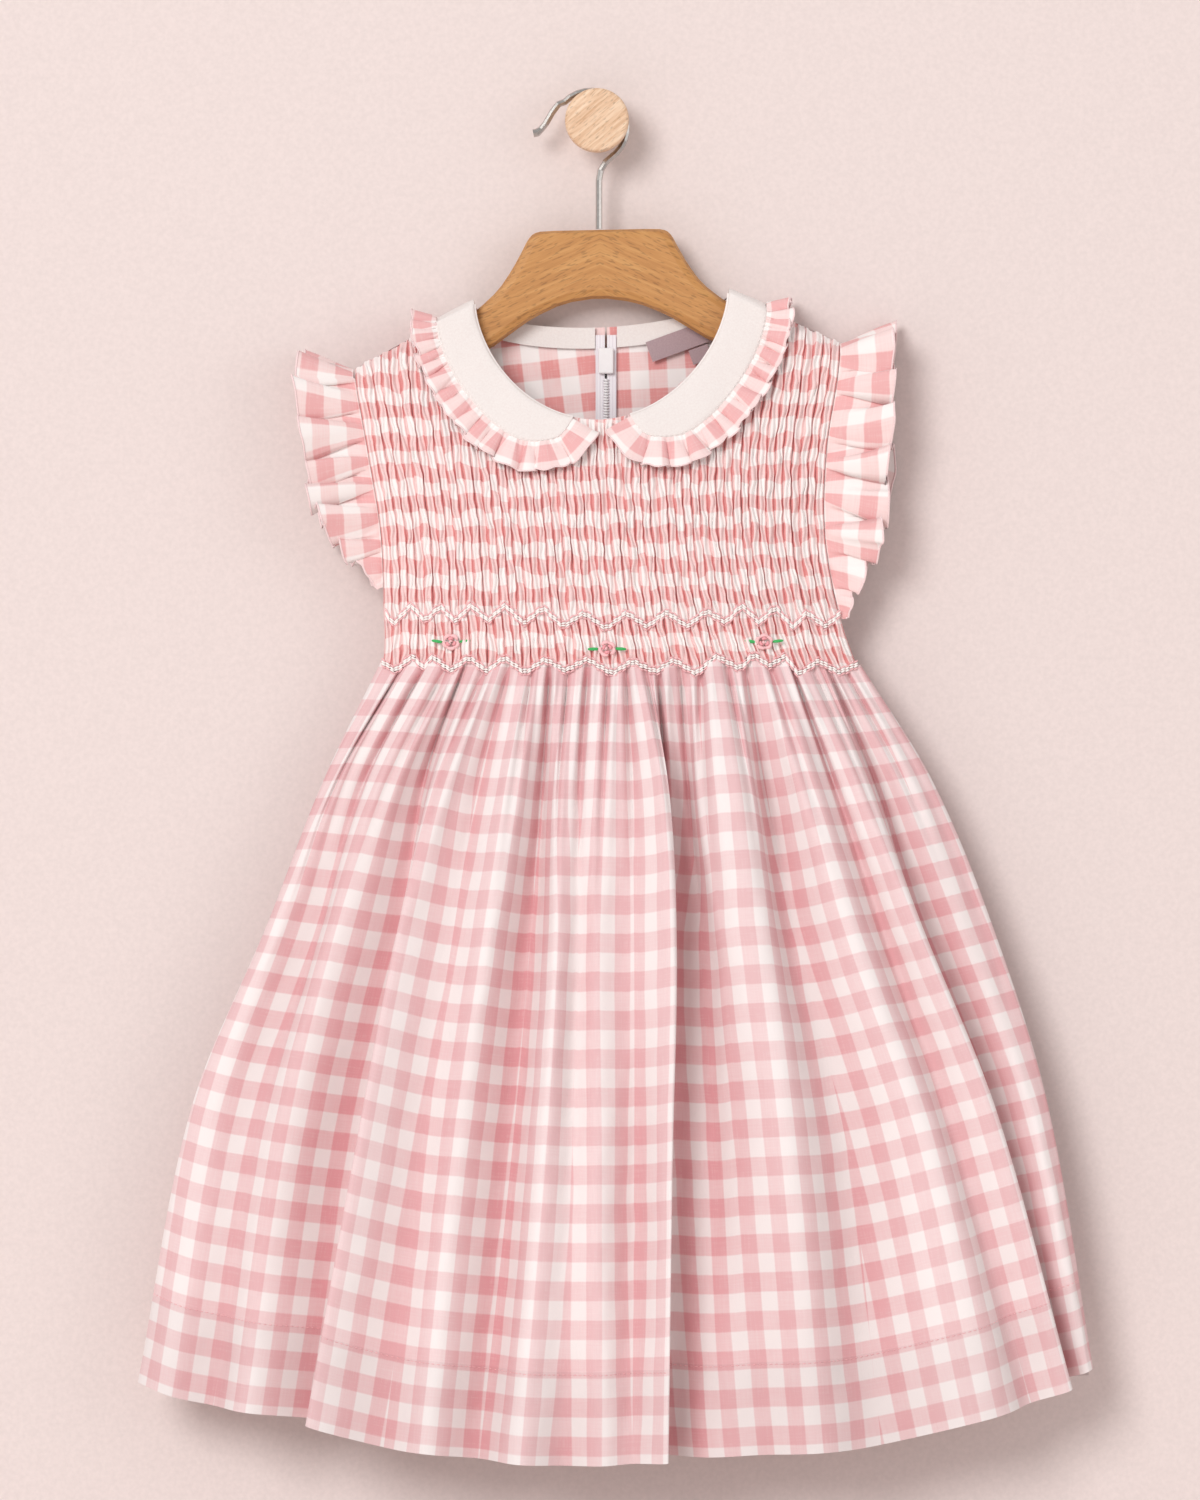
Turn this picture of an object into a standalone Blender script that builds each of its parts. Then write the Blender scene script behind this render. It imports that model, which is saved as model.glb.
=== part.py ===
"""A child's smocked gingham dress on a wooden hanger, hung from a wall knob.

Every table and constant is in millimetres, and a mesh is made in metres.
X runs to the right, Z up, and the front of the dress faces -Y. The wall is the plane
Y = 0, and the origin is the middle of the knob's back face, where the wall holds it.
"""

import math

import bmesh
import bpy
from mathutils import Vector

MM = 0.001
GAP = 0.3  # between pieces that touch
CLOTH = 1.5  # wall of a cloth panel
SLOPE = 1.2  # how much deeper than its wall a slanting panel is, straight back

# Neck and shoulders, the seam line that lies on the hanger's arms
NECK_X = 2.25
NECK_HALF = 63.75
NECK_TOP = -89.2
FRONT_DROP = 61.0
BACK_DROP = 14.0
SHOULDER_SLOPE = 0.495
TILT = 0.043  # the dress hangs a little lower on its left-hand side
SEAM_Y = -17.0
SEAM_START = 1.03  # of the neck's half width: from here out the panels roll to the seam
SHOULDER_TIP = -118.0
UNDERARM = {-1: -234.0, 1: -250.0}
WAIST = -277.0

# One row for each height: the edges of the flat-hung dress, and the depth of its front,
# of the front and back panels at the side, and of its back
HEIGHT, LEFT, RIGHT, FRONT, FRONT_SIDE, BACK_SIDE, BACK = range(7)
SECTIONS = (
    (-86.0, -122.5, 124.0, -26.5, -26.0, -7.5, -6.5),
    (-125.0, -121.5, 121.0, -31.0, -26.0, -7.8, -6.5),
    (-165.0, -115.0, 115.0, -39.0, -26.5, -9.5, -6.5),
    (-205.0, -108.5, 114.0, -46.0, -27.5, -15.0, -6.5),
    (-240.0, -107.0, 119.5, -50.0, -29.4, -25.0, -6.5),
    (-277.0, -108.5, 132.0, -53.0, -31.4, -27.0, -6.5),
    (-340.0, -136.5, 167.0, -62.0, -34.0, -30.0, -7.0),
    (-415.0, -164.5, 196.5, -71.0, -37.0, -33.0, -8.0),
    (-515.0, -203.0, 225.0, -79.0, -41.0, -37.0, -10.0),
    (-590.0, -220.0, 242.0, -85.0, -43.0, -39.0, -12.0),
    (-680.0, -231.0, 249.0, -90.0, -45.0, -41.0, -13.0),
)
FRONT_ROUND = 2.4
BACK_ROUND = 4.0

# Smocking
PLEATS = 54
RIDGE = 2.0
PINCH = 0.45
SMOCK_ROWS = (0, 0.035, 0.1, 0.19, 0.28, 0.37, 0.46, 0.55, 0.64, 0.73, 0.82, 0.91, 1)

# One row for each crest or trough of the front skirt: its place across the dress from
# the waist to the hem, how far it stands out at the hip and the hem, and the hem's height
ACROSS, OUT_HIP, OUT_HEM, HEM = slice(0, 5), 5, 6, 7
FOLD_LEVELS = (0.0, 0.16, 0.36, 0.62, 1.0)
FRONT_FOLDS = (
    (-108.5, -136.5, -164.5, -203.0, -229.5, 0, 0, -631.5),
    (-97.5, -130.5, -156.0, -189.5, -212.5, 3, 4, -638.0),
    (-86.5, -117.5, -139.5, -168.5, -191.5, -3, -3, -642.5),
    (-75.5, -105.5, -129.5, -152.5, -173.5, 4, 3, -645.5),
    (-65.5, -86.5, -97.5, -115.5, -139.5, -8, -10, -649.0),
    (-56.5, -80.0, -99.5, -118.0, -143.5, 6, 10, -651.5),
    (-43.5, -59.5, -72.5, -87.5, -106.0, -2, -2, -662.0),
    (-32.5, -42.0, -53.5, -67.5, -83.5, 5, 2, -665.0),
    (-23.5, -27.5, -33.5, -42.5, -58.5, -6, -5, -667.5),
    (-14.5, -19.5, -21.0, -27.0, -39.5, 5, 5, -669.5),
    (-4.5, -8.5, -10.0, -12.5, -17.5, 1, 1, -670.5),
    (5.5, 2.5, 0.5, 1.5, 1.5, 4, 3, -670.5),
    (14.5, 17.5, 18.5, 18.5, 17.5, 0, 0, -669.5),
    (24.0, 35.5, 39.0, 37.0, 35.0, 9, 10, -668.5),
    (30.5, 34.0, 36.5, 34.5, 32.0, -9, -9, -666.0),
    (41.5, 45.5, 52.5, 54.0, 54.0, -9, -7, -667.0),
    (51.5, 53.5, 63.5, 69.5, 81.5, 2, -3, -665.5),
    (64.5, 75.5, 85.5, 97.5, 110.5, 7, 4, -664.5),
    (74.0, 84.0, 100.0, 124.5, 141.5, -5, -5, -661.0),
    (86.5, 105.5, 129.5, 164.0, 196.5, 6, 6, -648.0),
    (97.5, 118.5, 143.5, 176.5, 216.5, -2, 0, -641.0),
    (107.5, 132.5, 160.5, 198.5, 236.5, 5, 9, -634.5),
    (115.5, 139.5, 162.5, 197.5, 232.5, -5, -7, -630.5),
    (124.5, 154.5, 182.5, 215.5, 243.5, 2, 0, -627.0),
    (132.0, 167.0, 196.5, 225.0, 248.0, 0, 0, -624.5),
)
SKIRT_ROWS = (0, 0.04, 0.09, 0.16, 0.25, 0.36, 0.48, 0.62, 0.75, 0.88, 1)
FOLD_STEPS = 4
GATHER = 3.0
GATHER_END = 0.16

# Back skirt
BACK_FOLDS = 8
BACK_FOLD_HEM = 6.0
BACK_HEM_SIDE = -628.0
BACK_HEM_DIP = 14.0

# Collar: how wide it is at angles round the neck from the centre front
COLLAR = 1.2
COLLAR_WIDTHS = (
    (13, 0.8),
    (14.3, 6),
    (16.5, 11.5),
    (21, 16),
    (29, 20.8),
    (39, 21.8),
    (50, 21.5),
    (90, 21.5),
)
BACK_COLLAR_WIDTHS = ((90, 21.5), (45, 21.5), (28, 19), (19, 13), (15, 4))
COLLAR_LIFT = 2.5
COLLAR_RUFFLES = ((0, 13.5), (0.4, 13.8), (0.7, 11.5), (1, 10.0), (3, 10.0))
COLLAR_WAVES = 26

# Armhole ruffle: its width from the underarm (0) to the shoulder (1)
ARM_WIDTHS = ((0, 2.5), (0.12, 11), (0.25, 21), (0.4, 27), (0.75, 29), (1, 25))
ARM_WAVES = 16
ARM_CLEAR = 0.9
ARM_FALL, ARM_RISE = -0.16, 0.12

# Zip down the centre back
ZIP_X = 4.5
ZIP_SLIT = 1.2
TAPE_WIDTH = 4.6
TAPE = 1.0
SLIDER_TOP = -113.5
SLIDER_SIZE = (7.6, 3.0, 13.0)
PIN_Y = -3.6
PIN_Z = -117.0
PIN_RADIUS = 0.6

# Hanger, hook and knob
HANGER_THICK = 12.0
HANGER_EDGE = 4.5
CORNER_CUT = 0.22
WIRE = 1.65
HOOK_ROUTE = (
    (-32.0, -6.0),
    (-30.0, -5.6),
    (-28.0, -3.9),
    (-25.8, -1.2),
    (-22.6, 4.4),
    (-19.4, 8.6),
)
HOOK_CENTRE = (-3.15, -2.9)
HOOK_RADIUS = 18.2
HOOK_TAIL = ((7.6, -17.6), (4.2, -20.6), (1.9, -24.6), (1.0, -29.5), (1.0, -54.0))
KNOB_PROFILE = (
    (11.9, 0.0),
    (11.9, -20.5),
    (14.6, -20.5),
    (16.0, -21.9),
    (16.0, -31.6),
    (14.6, -33.0),
)


def metres(point):
    return Vector(point) * MM


def between(rows, value):
    """The other columns of a table at this value of its first column, on smooth curves."""
    rows = sorted(rows)
    value = min(max(value, rows[0][0]), rows[-1][0])
    at = max(i for i in range(len(rows) - 1) if rows[i][0] <= value)
    low, high = rows[at], rows[at + 1]
    before, after = rows[max(at - 1, 0)], rows[min(at + 2, len(rows) - 1)]
    span = high[0] - low[0]
    t = (value - low[0]) / span
    found = []
    for k in range(1, len(low)):
        slope_low = (high[k] - before[k]) / (high[0] - before[0]) * span
        slope_high = (after[k] - low[k]) / (after[0] - low[0]) * span
        found.append(
            low[k] * (2 * t**3 - 3 * t**2 + 1)
            + slope_low * (t**3 - 2 * t**2 + t)
            + high[k] * (3 * t**2 - 2 * t**3)
            + slope_high * (t**3 - t**2)
        )
    return found


def section(z):
    return [z] + between(SECTIONS, z)


def blend(low, high, t):
    return low + (high - low) * t


def across(x, row):
    """How far out x lies between the middle (0) and the side (1) of a section."""
    middle = (row[LEFT] + row[RIGHT]) / 2
    return min(abs(x - middle) / (row[RIGHT] - middle), 1.0)


def front_y(x, z):
    row = section(z)
    return row[FRONT_SIDE] + (row[FRONT] - row[FRONT_SIDE]) * (1 - across(x, row) ** FRONT_ROUND)


def back_y(x, z):
    row = section(z)
    return row[BACK_SIDE] + (row[BACK] - row[BACK_SIDE]) * (1 - across(x, row) ** BACK_ROUND)


def neck_part(x):
    return (x - NECK_X) / NECK_HALF


def top_edge(x, drop):
    """Height of a panel's top: the neckline inside the neck points, the shoulder outside."""
    part = neck_part(x)
    top = NECK_TOP + TILT * x
    if abs(part) < 1:
        return top - drop * (1 - part**2) ** 0.6
    return top - SHOULDER_SLOPE * (abs(part) - 1) * NECK_HALF


def uneven(a, b):
    """A repeatable value from -1 to 1, for folds that aren't all alike."""
    return math.sin(a * 12.9898 + b * 4.1414) * math.cos(a * 3.7 - b * 7.3)


def material(name, colour, roughness, metallic=0.0):
    made = bpy.data.materials.new(name)
    made.use_nodes = True
    shader = made.node_tree.nodes["Principled BSDF"]
    shader.inputs["Base Color"].default_value = (*colour, 1.0)
    shader.inputs["Roughness"].default_value = roughness
    shader.inputs["Metallic"].default_value = metallic
    made.diffuse_color = (*colour, 1.0)
    return made


def add_object(name, data, finish, smooth=True):
    obj = bpy.data.objects.new(name, data)
    bpy.data.collections["smocked_dress"].objects.link(obj)
    data.materials.append(finish)
    if smooth and isinstance(data, bpy.types.Mesh):
        data.shade_smooth()
        data.set_sharp_from_angle(angle=math.radians(50))
    return obj


def cloth_wall(name, outer, inner, finish, row_picks=None, column_picks=None):
    """One closed wall between two grids of points. The picks thin out the inner grid."""
    rows, columns = len(outer), len(outer[0])
    row_picks = list(row_picks or range(rows))
    column_picks = list(column_picks or range(columns))
    bm = bmesh.new()
    face = [[bm.verts.new(metres(point)) for point in line] for line in outer]
    lining = {(i, j): bm.verts.new(metres(inner[i][j])) for i in row_picks for j in column_picks}
    for i in range(rows - 1):
        for j in range(columns - 1):
            bm.faces.new((face[i][j], face[i + 1][j], face[i + 1][j + 1], face[i][j + 1]))
    for i, below in zip(row_picks, row_picks[1:]):
        for j, beside in zip(column_picks, column_picks[1:]):
            corners = ((i, j), (i, beside), (below, beside), (below, j))
            bm.faces.new([lining[corner] for corner in corners])
    for i in (0, rows - 1):
        for j, beside in zip(column_picks, column_picks[1:]):
            edge = [face[i][k] for k in range(j, beside + 1)]
            close_edge(bm, edge, lining[i, j], lining[i, beside])
    for j in (0, columns - 1):
        for i, below in zip(row_picks, row_picks[1:]):
            edge = [face[k][j] for k in range(i, below + 1)]
            close_edge(bm, edge, lining[i, j], lining[below, j])
    bmesh.ops.recalc_face_normals(bm, faces=bm.faces)
    mesh = bpy.data.meshes.new(name)
    bm.to_mesh(mesh)
    bm.free()
    return add_object(name, mesh, finish)


def close_edge(bm, edge, first, last):
    """A strip of triangles between a fine edge and two points of the coarse one."""
    for a, b in zip(edge, edge[1:]):
        bm.faces.new((a, b, first))
    bm.faces.new((edge[-1], last, first))


def facing(grid, i, j):
    """The unit normal of a grid of points, towards the viewer where rows run down."""
    rows, columns = len(grid), len(grid[0])
    down = Vector(grid[min(i + 1, rows - 1)][j]) - Vector(grid[max(i - 1, 0)][j])
    along = Vector(grid[i][min(j + 1, columns - 1)]) - Vector(grid[i][max(j - 1, 0)])
    return down.cross(along).normalized()


def smocked_front(finish):
    """The front above the waist: a pleat has a ridge column and a valley column."""
    columns = 2 * PLEATS
    outer, inner = [], []
    for i, v in enumerate(SMOCK_ROWS):
        outer_row, inner_row = [], []
        for j in range(columns + 1):
            point, lining, out = smocked_point(i, v, j, columns)
            outer_row.append(point + out)
            inner_row.append(lining)
        outer.append(outer_row)
        inner.append(inner_row)
    neck = [j for j in range(columns) if on_seam(j, columns) != on_seam(j + 1, columns)]
    picks = sorted(set(range(0, columns + 1, 3)) | set(neck) | {j + 1 for j in neck})
    cloth_wall("front_smocked", outer, inner, finish, (0, 1, 2, 4, 6, 8, 10, 12), picks)


def top_place(u):
    """Where a column of the front starts, across the shoulders."""
    row = section(SHOULDER_TIP)
    return blend(row[LEFT], row[RIGHT], u)


def on_seam(j, columns):
    return abs(neck_part(top_place(j / columns))) >= SEAM_START


def smocked_point(i, v, j, columns):
    """(surface, lining, relief) of the smocked front at a row and a column."""
    u = j / columns
    z = blend(top_edge(top_place(u), FRONT_DROP), WAIST, v)
    row = section(z)
    x = blend(row[LEFT], row[RIGHT], u)
    y = front_y(x, z)
    on_shoulder = on_seam(j, columns)
    lining = Vector((x, y + CLOTH * SLOPE, z))
    towards = Vector((0, -1, 0))
    if on_shoulder and v == 0:
        y = SEAM_Y - GAP / 2
        lining = Vector((x, y, z - CLOTH * 1.3))
        towards = Vector((0, 0, 1))
    elif on_shoulder and i == 1:
        lining = Vector((x, y + CLOTH, z - CLOTH * 0.3))
        towards = Vector((0, -0.94, 0.34))
    ridge = j % 2 == 1
    height = RIDGE * (1 + 0.2 * uneven(i, j // 2)) if ridge else 0.25 * RIDGE * abs(uneven(j, i))
    if v in (0, 1):
        height *= 0.35
    pull = PINCH * (1 if (j // 2 + i) % 2 else -1) if 0 < j < columns else 0.0
    return Vector((x + pull, y, z)), lining, towards * height


def back_panel(name, side, finish):
    """Half of the back above the waist, from the side to the zip."""
    centre = ZIP_X + side * ZIP_SLIT / 2
    edge_column = LEFT if side < 0 else RIGHT
    tip = section(SHOULDER_TIP)[edge_column]
    seam_start = NECK_X + side * NECK_HALF * SEAM_START
    neck_point = NECK_X + side * NECK_HALF * 0.99
    starts = spread(3, tip, seam_start) + spread(7, neck_point, centre)
    outer, inner = [], []
    for v in SMOCK_ROWS[:3] + SMOCK_ROWS[4::2]:
        outer_row, inner_row = [], []
        for start in starts:
            on_shoulder = abs(neck_part(start)) >= SEAM_START - 0.001
            z = blend(top_edge(start, BACK_DROP), WAIST, v)
            edge = section(z)[edge_column]
            x = blend(edge, centre, (start - tip) / (centre - tip))
            y = back_y(x, z)
            lining = (x, y - CLOTH * SLOPE, z)
            if on_shoulder and v == 0:
                y = SEAM_Y + GAP / 2
                lining = (x, y, z - CLOTH * 1.3)
            outer_row.append((x, y, z))
            inner_row.append(lining)
        outer.append(outer_row)
        inner.append(inner_row)
    cloth_wall(name, outer, inner, finish)


def fold_place(v, t, k):
    """Column t of the fold table between rows k and k + 1, at the height v."""
    ends = []
    for n in (k - 1, k, k + 1, k + 2):
        row = FRONT_FOLDS[min(max(n, 0), len(FRONT_FOLDS) - 1)]
        x = between(list(zip(FOLD_LEVELS, row[ACROSS])), v)[0]
        levels = ((0, 0), (FOLD_LEVELS[1], row[OUT_HIP]), (1, row[OUT_HEM]))
        ends.append((x, between(levels, v)[0], row[HEM]))
    found = []
    for a, b, c, d in zip(*ends):
        found.append(
            0.5 * (2 * b + (c - a) * t + (2 * a - 5 * b + 4 * c - d) * t**2
                   + (3 * b - a - 3 * c + d) * t**3)
        )
    return found


def front_skirt(finish):
    """The front below the waist, falling in the folds of the table."""
    places = [(k, s / FOLD_STEPS) for k in range(len(FRONT_FOLDS) - 1) for s in range(FOLD_STEPS)]
    places.append((len(FRONT_FOLDS) - 2, 1.0))
    surface, relief = [], []
    for v in SKIRT_ROWS:
        line, raised = [], []
        for k, t in places:
            x, out, hem = fold_place(v, t, k)
            z = blend(WAIST - GAP, hem, v)
            line.append(Vector((x, front_y(x, z) - out, z)))
            fade = max(0.0, 1 - v / GATHER_END) ** 1.5
            raised.append(GATHER * fade * math.sin(math.pi * t) ** 2 * (1 + 0.3 * uneven(k, 2)))
        surface.append(line)
        relief.append(raised)
    outer, inner = fold_wall(surface, relief, 1)
    cloth_wall("front_skirt", outer, inner, finish)


def fold_wall(surface, relief, sign):
    """The two faces of a folded wall: its surface raised outwards, and its lining behind."""
    outer, inner = [], []
    last = len(surface[0]) - 1
    for i, line in enumerate(surface):
        outer_row, inner_row = [], []
        for j, point in enumerate(line):
            normal = facing(surface, i, j) * sign
            if j in (0, last) or i == 0:
                normal = Vector((0, -1.15 * sign, 0))
            outer_row.append(point + normal * relief[i][j])
            inner_row.append(point - normal * CLOTH)
        outer.append(outer_row)
        inner.append(inner_row)
    return outer, inner


def back_skirt(finish):
    """The back below the waist: even gathers at the seam that open into soft folds."""
    columns = BACK_FOLDS * 8
    surface, relief = [], []
    for v in SKIRT_ROWS[::2]:
        line, raised = [], []
        for j in range(columns + 1):
            u = j / columns
            hem = BACK_HEM_SIDE - BACK_HEM_DIP * math.sin(math.pi * u)
            z = blend(WAIST - GAP, hem, v)
            row = section(z)
            x = blend(row[LEFT], row[RIGHT], u + 0.006 * v * math.sin(6 * math.pi * u))
            phase = 2 * math.pi * BACK_FOLDS * u + 0.7 * math.sin(4 * math.pi * u)
            depth = BACK_FOLD_HEM * math.sin(math.pi * u) ** 0.5 * min(v * 2, 1)
            y = back_y(x, z) - depth * (0.5 + 0.5 * math.sin(phase))
            line.append(Vector((x, y, z)))
            fade = max(0.0, 1 - v / GATHER_END) ** 1.5
            raised.append(GATHER * fade * math.sin(j * math.pi / 4) ** 2)
        surface.append(line)
        relief.append(raised)
    outer, inner = fold_wall(surface, relief, -1)
    cloth_wall("back_skirt", outer, inner, finish)


def collar_station(side, q):
    """The neck seam at q: its point, the direction outwards, the collar's width and its roll.

    q runs from the centre front (0) over the shoulder (1 to 2) to the zip (3).
    """
    if q <= 1:
        around = blend(COLLAR_WIDTHS[0][0], 90, q)
        outwards = min(around - 90, -26)
        drop, widths = FRONT_DROP, COLLAR_WIDTHS
    elif q < 2:
        around, outwards = 90, -26
        drop, widths = 0, COLLAR_WIDTHS
    else:
        around = blend(90, BACK_COLLAR_WIDTHS[-1][0], q - 2)
        turn = min((90 - around) / 50, 1)
        outwards = blend(-26, -88, turn * turn * (3 - 2 * turn))
        drop, widths = BACK_DROP, BACK_COLLAR_WIDTHS
    x = NECK_X + side * NECK_HALF * math.sin(math.radians(around))
    angle = math.radians(outwards)
    width = max(between(widths, around)[0], 0.5)
    return x, top_edge(x, drop), side * math.cos(angle), math.sin(angle), width


def on_garment(x, z, q, lift):
    """A point that stands off the front, the shoulder or the back of the dress."""
    if q <= 1:
        return Vector((x, front_y(x, z) - COLLAR_LIFT - lift, z))
    if q >= 2:
        return Vector((x, back_y(x, z) + 2 * GAP + lift, z))
    turn = math.pi * (q - 1)
    stand = blend(COLLAR_LIFT, 2 * GAP, q - 1) + lift
    y = SEAM_Y + 0.75 - (9.75 + stand) * math.cos(turn)
    return Vector((x, y, z + stand * math.sin(turn)))


def collar_point(side, q, part, lift):
    x, z, out_x, out_z, width = collar_station(side, q)
    x += out_x * width * part
    z = top_edge(x, 0) if 1 < q < 2 else z + out_z * width * part
    return on_garment(x, z, q, lift)


def lift_towards(q):
    turn = math.pi * min(max(q - 1, 0), 1)
    return Vector((0, -math.cos(turn), math.sin(turn)))


def spread(count, low=0.0, high=3.0):
    return [blend(low, high, i / count) for i in range(count + 1)]


def collar(name, side, finish):
    """One white half, flat on the dress from the centre front round to the zip."""
    stations = spread(11, 0, 1) + [1.25, 1.5, 1.75] + spread(7, 2, 3)
    parts = (0, 0.33, 0.67, 1)
    faces = []
    for lift in (COLLAR, 0):
        faces.append([[collar_point(side, q, part, lift) for q in stations] for part in parts])
    cloth_wall(name, faces[0], faces[1], finish)


def collar_ruffle(name, side, finish):
    """The gathered strip in the seam of the collar's edge."""
    columns = COLLAR_WAVES * 4
    middle = COLLAR / 2
    faces = ([], [])
    for part in (0.0, 0.5, 1.0):
        lines = ([], [])
        for j in range(columns + 1):
            q = ruffle_place(j / columns)
            edge = collar_point(side, q, 1, middle)
            ahead = collar_point(side, min(q + 0.01, 3), 1, middle)
            behind = collar_point(side, max(q - 0.01, 0), 1, middle)
            out = (ahead - behind).cross(lift_towards(q)).normalized() * side
            width = between(COLLAR_RUFFLES, q)[0] * (1 + 0.06 * uneven(j // 4, side))
            reach = GAP + width * part
            x, z = edge.x + out.x * reach, edge.z + out.z * reach
            wave = 1.6 * part * (1 + math.sin(j * math.pi / 2)) * (1 + 0.3 * uneven(side, j // 4))
            for line, face in zip(lines, (0.5, -0.5)):
                stand = middle + wave + face
                if 1 < q < 2:
                    level = edge.z - collar_point(side, q, 1, 0).z
                    point = on_garment(x, z - level, q, stand)
                    point.z += level * 0.5
                else:
                    point = on_garment(x, z, q, stand)
                line.append(point)
        for face, line in zip(faces, lines):
            face.append(line)
    cloth_wall(name, faces[0], faces[1], finish)


def ruffle_place(part):
    """q along the collar's edge, where the short roll over the shoulder has few waves."""
    if part < 0.58:
        return part / 0.58
    if part < 0.66:
        return 1 + (part - 0.58) / 0.08
    return 2 + (part - 0.66) / 0.34


def armhole(side, s):
    """The armhole's edge from the front underarm (0) over the shoulder (1 to 2) to the back."""
    edge_column = LEFT if side < 0 else RIGHT
    tip_x = section(SHOULDER_TIP)[edge_column]
    tip_z = top_edge(tip_x, 0) - 5.0
    low = UNDERARM[side]
    if 1 < s < 2:
        turn = math.pi * (s - 1)
        y = SEAM_Y + 0.5 - 8.2 * math.cos(turn)
        return Vector((tip_x + side * ARM_CLEAR, y, tip_z + 5.0 * math.sin(turn))), lift_towards(s)
    z = blend(low, tip_z, s if s <= 1 else 3 - s)
    row = section(z)
    y = row[FRONT_SIDE] + CLOTH * 0.6 if s <= 1 else row[BACK_SIDE] - CLOTH * 0.6
    return Vector((row[edge_column] + side * ARM_CLEAR, y, z)), lift_towards(s)


def armhole_ruffle(name, side, finish):
    columns = ARM_WAVES * 4
    faces = ([], [])
    for part in (0.0, 0.5, 1.0):
        lines = ([], [])
        for j in range(columns + 1):
            s = arm_place(j / columns)
            base, lift = armhole(side, s)
            height = s if s <= 1 else (3 - s if s >= 2 else 1)
            width = between(ARM_WIDTHS, height)[0] * (1 + 0.09 * uneven(j // 4, 3 + side))
            wave = 0.14 * width * part * (1 + math.sin(j * math.pi / 2 + 0.4 * uneven(j // 4, 1)))
            rise = blend(ARM_FALL, ARM_RISE, height**3)
            out = Vector((side, 0, rise + 0.05 * math.sin(j * math.pi / 2)))
            middle = base + out * width * part
            for line, face in zip(lines, (0.55, -0.55)):
                line.append(middle + lift * (wave + face))
        for face, line in zip(faces, lines):
            face.append(line)
    cloth_wall(name, faces[0], faces[1], finish)


def arm_place(part):
    if part < 0.46:
        return part / 0.46
    if part < 0.54:
        return 1 + (part - 0.46) / 0.08
    return 2 + (part - 0.54) / 0.46


def neck_binding(name, side, finish):
    """The white strip inside the back neck, on the panel's lining side."""
    steps, depth = 9, 10.5
    start = NECK_X + side * NECK_HALF * 0.93
    end = ZIP_X + side * (TAPE_WIDTH + ZIP_SLIT / 2 + GAP)
    faces = []
    for stand in (CLOTH * SLOPE + GAP, CLOTH * SLOPE + GAP + 1.0):
        grid = []
        for drop in (0, depth):
            xs = [blend(start, end, i / steps) for i in range(steps + 1)]
            tops = [top_edge(x, BACK_DROP) - drop for x in xs]
            grid.append([(x, back_y(x, z) - stand, z) for x, z in zip(xs, tops)])
        faces.append(grid)
    cloth_wall(name, faces[1], faces[0], finish)


def block(name, size, centre, finish, turn=0.0, edge=0.0):
    """A box, turned about Y, with rounded edges where edge is given."""
    bm = bmesh.new()
    bmesh.ops.create_cube(bm, size=1)
    bmesh.ops.scale(bm, vec=metres(size), verts=bm.verts)
    mesh = bpy.data.meshes.new(name)
    bm.to_mesh(mesh)
    bm.free()
    obj = add_object(name, mesh, finish)
    obj.location = metres(centre)
    obj.rotation_euler.y = -turn
    if edge:
        bevel = obj.modifiers.new("edge", "BEVEL")
        bevel.width = edge * MM
        bevel.segments = 2
    return obj


def round_bar(name, radius, length, centre, finish):
    """A cylinder along X."""
    bm = bmesh.new()
    bmesh.ops.create_cone(
        bm, cap_ends=True, segments=16, radius1=radius * MM, radius2=radius * MM, depth=length * MM
    )
    mesh = bpy.data.meshes.new(name)
    bm.to_mesh(mesh)
    bm.free()
    obj = add_object(name, mesh, finish)
    obj.rotation_euler.y = math.pi / 2
    obj.location = metres(centre)
    return obj


def helper(obj):
    bpy.data.collections["smocked_dress"].objects.unlink(obj)
    bpy.data.collections["cutters"].objects.link(obj)
    obj.hide_render = True
    obj.display_type = "WIRE"
    return obj


def combine(obj, other, operation):
    boolean = obj.modifiers.new(other.name, "BOOLEAN")
    boolean.operation = operation
    boolean.object = helper(other)


def zip_fastener(white, metal):
    """Two tapes on the lining side, and a slider whose lug reaches out through the slit."""
    tape_y = back_y(ZIP_X, -180.0) - CLOTH * SLOPE - GAP - TAPE / 2
    top = top_edge(ZIP_X, BACK_DROP) - 4.0
    length = top - WAIST
    for name, side in (("zip_tape_left", -1), ("zip_tape_right", 1)):
        x = ZIP_X + side * (ZIP_SLIT / 2 + TAPE_WIDTH / 2)
        block(name, (TAPE_WIDTH, TAPE, length), (x, tape_y, top - length / 2), white)
    width, depth, tall = SLIDER_SIZE
    body_y = tape_y - TAPE / 2 - GAP - depth / 2
    slider = block("zip_slider", SLIDER_SIZE, (ZIP_X, body_y, SLIDER_TOP - tall / 2), white, edge=0.8)
    lug_back, lug_front = body_y, PIN_Y + 0.9
    lug_size = (ZIP_SLIT - 2 * GAP, lug_front - lug_back, 2.4)
    lug = block("lug", lug_size, (ZIP_X, (lug_back + lug_front) / 2, PIN_Z), white)
    pin = round_bar("pin", PIN_RADIUS, 4.8, (ZIP_X, PIN_Y, PIN_Z), white)
    combine(slider, lug, "UNION")
    combine(slider, pin, "UNION")

    pivot = (ZIP_X, PIN_Y, PIN_Z)
    tab = block("zip_pull", (4.6, 1.2, 17.0), (ZIP_X, PIN_Y, PIN_Z - 8.5), metal)
    eye = round_bar("eye", 1.6, 4.6, pivot, metal)
    hole = round_bar("pin_hole", PIN_RADIUS + GAP, 8.0, pivot, metal)
    slot = block("lug_slot", (ZIP_SLIT, 6.0, 4.8), pivot, metal)
    combine(tab, eye, "UNION")
    combine(tab, hole, "DIFFERENCE")
    combine(tab, slot, "DIFFERENCE")
    turn_about(tab, pivot)


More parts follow.
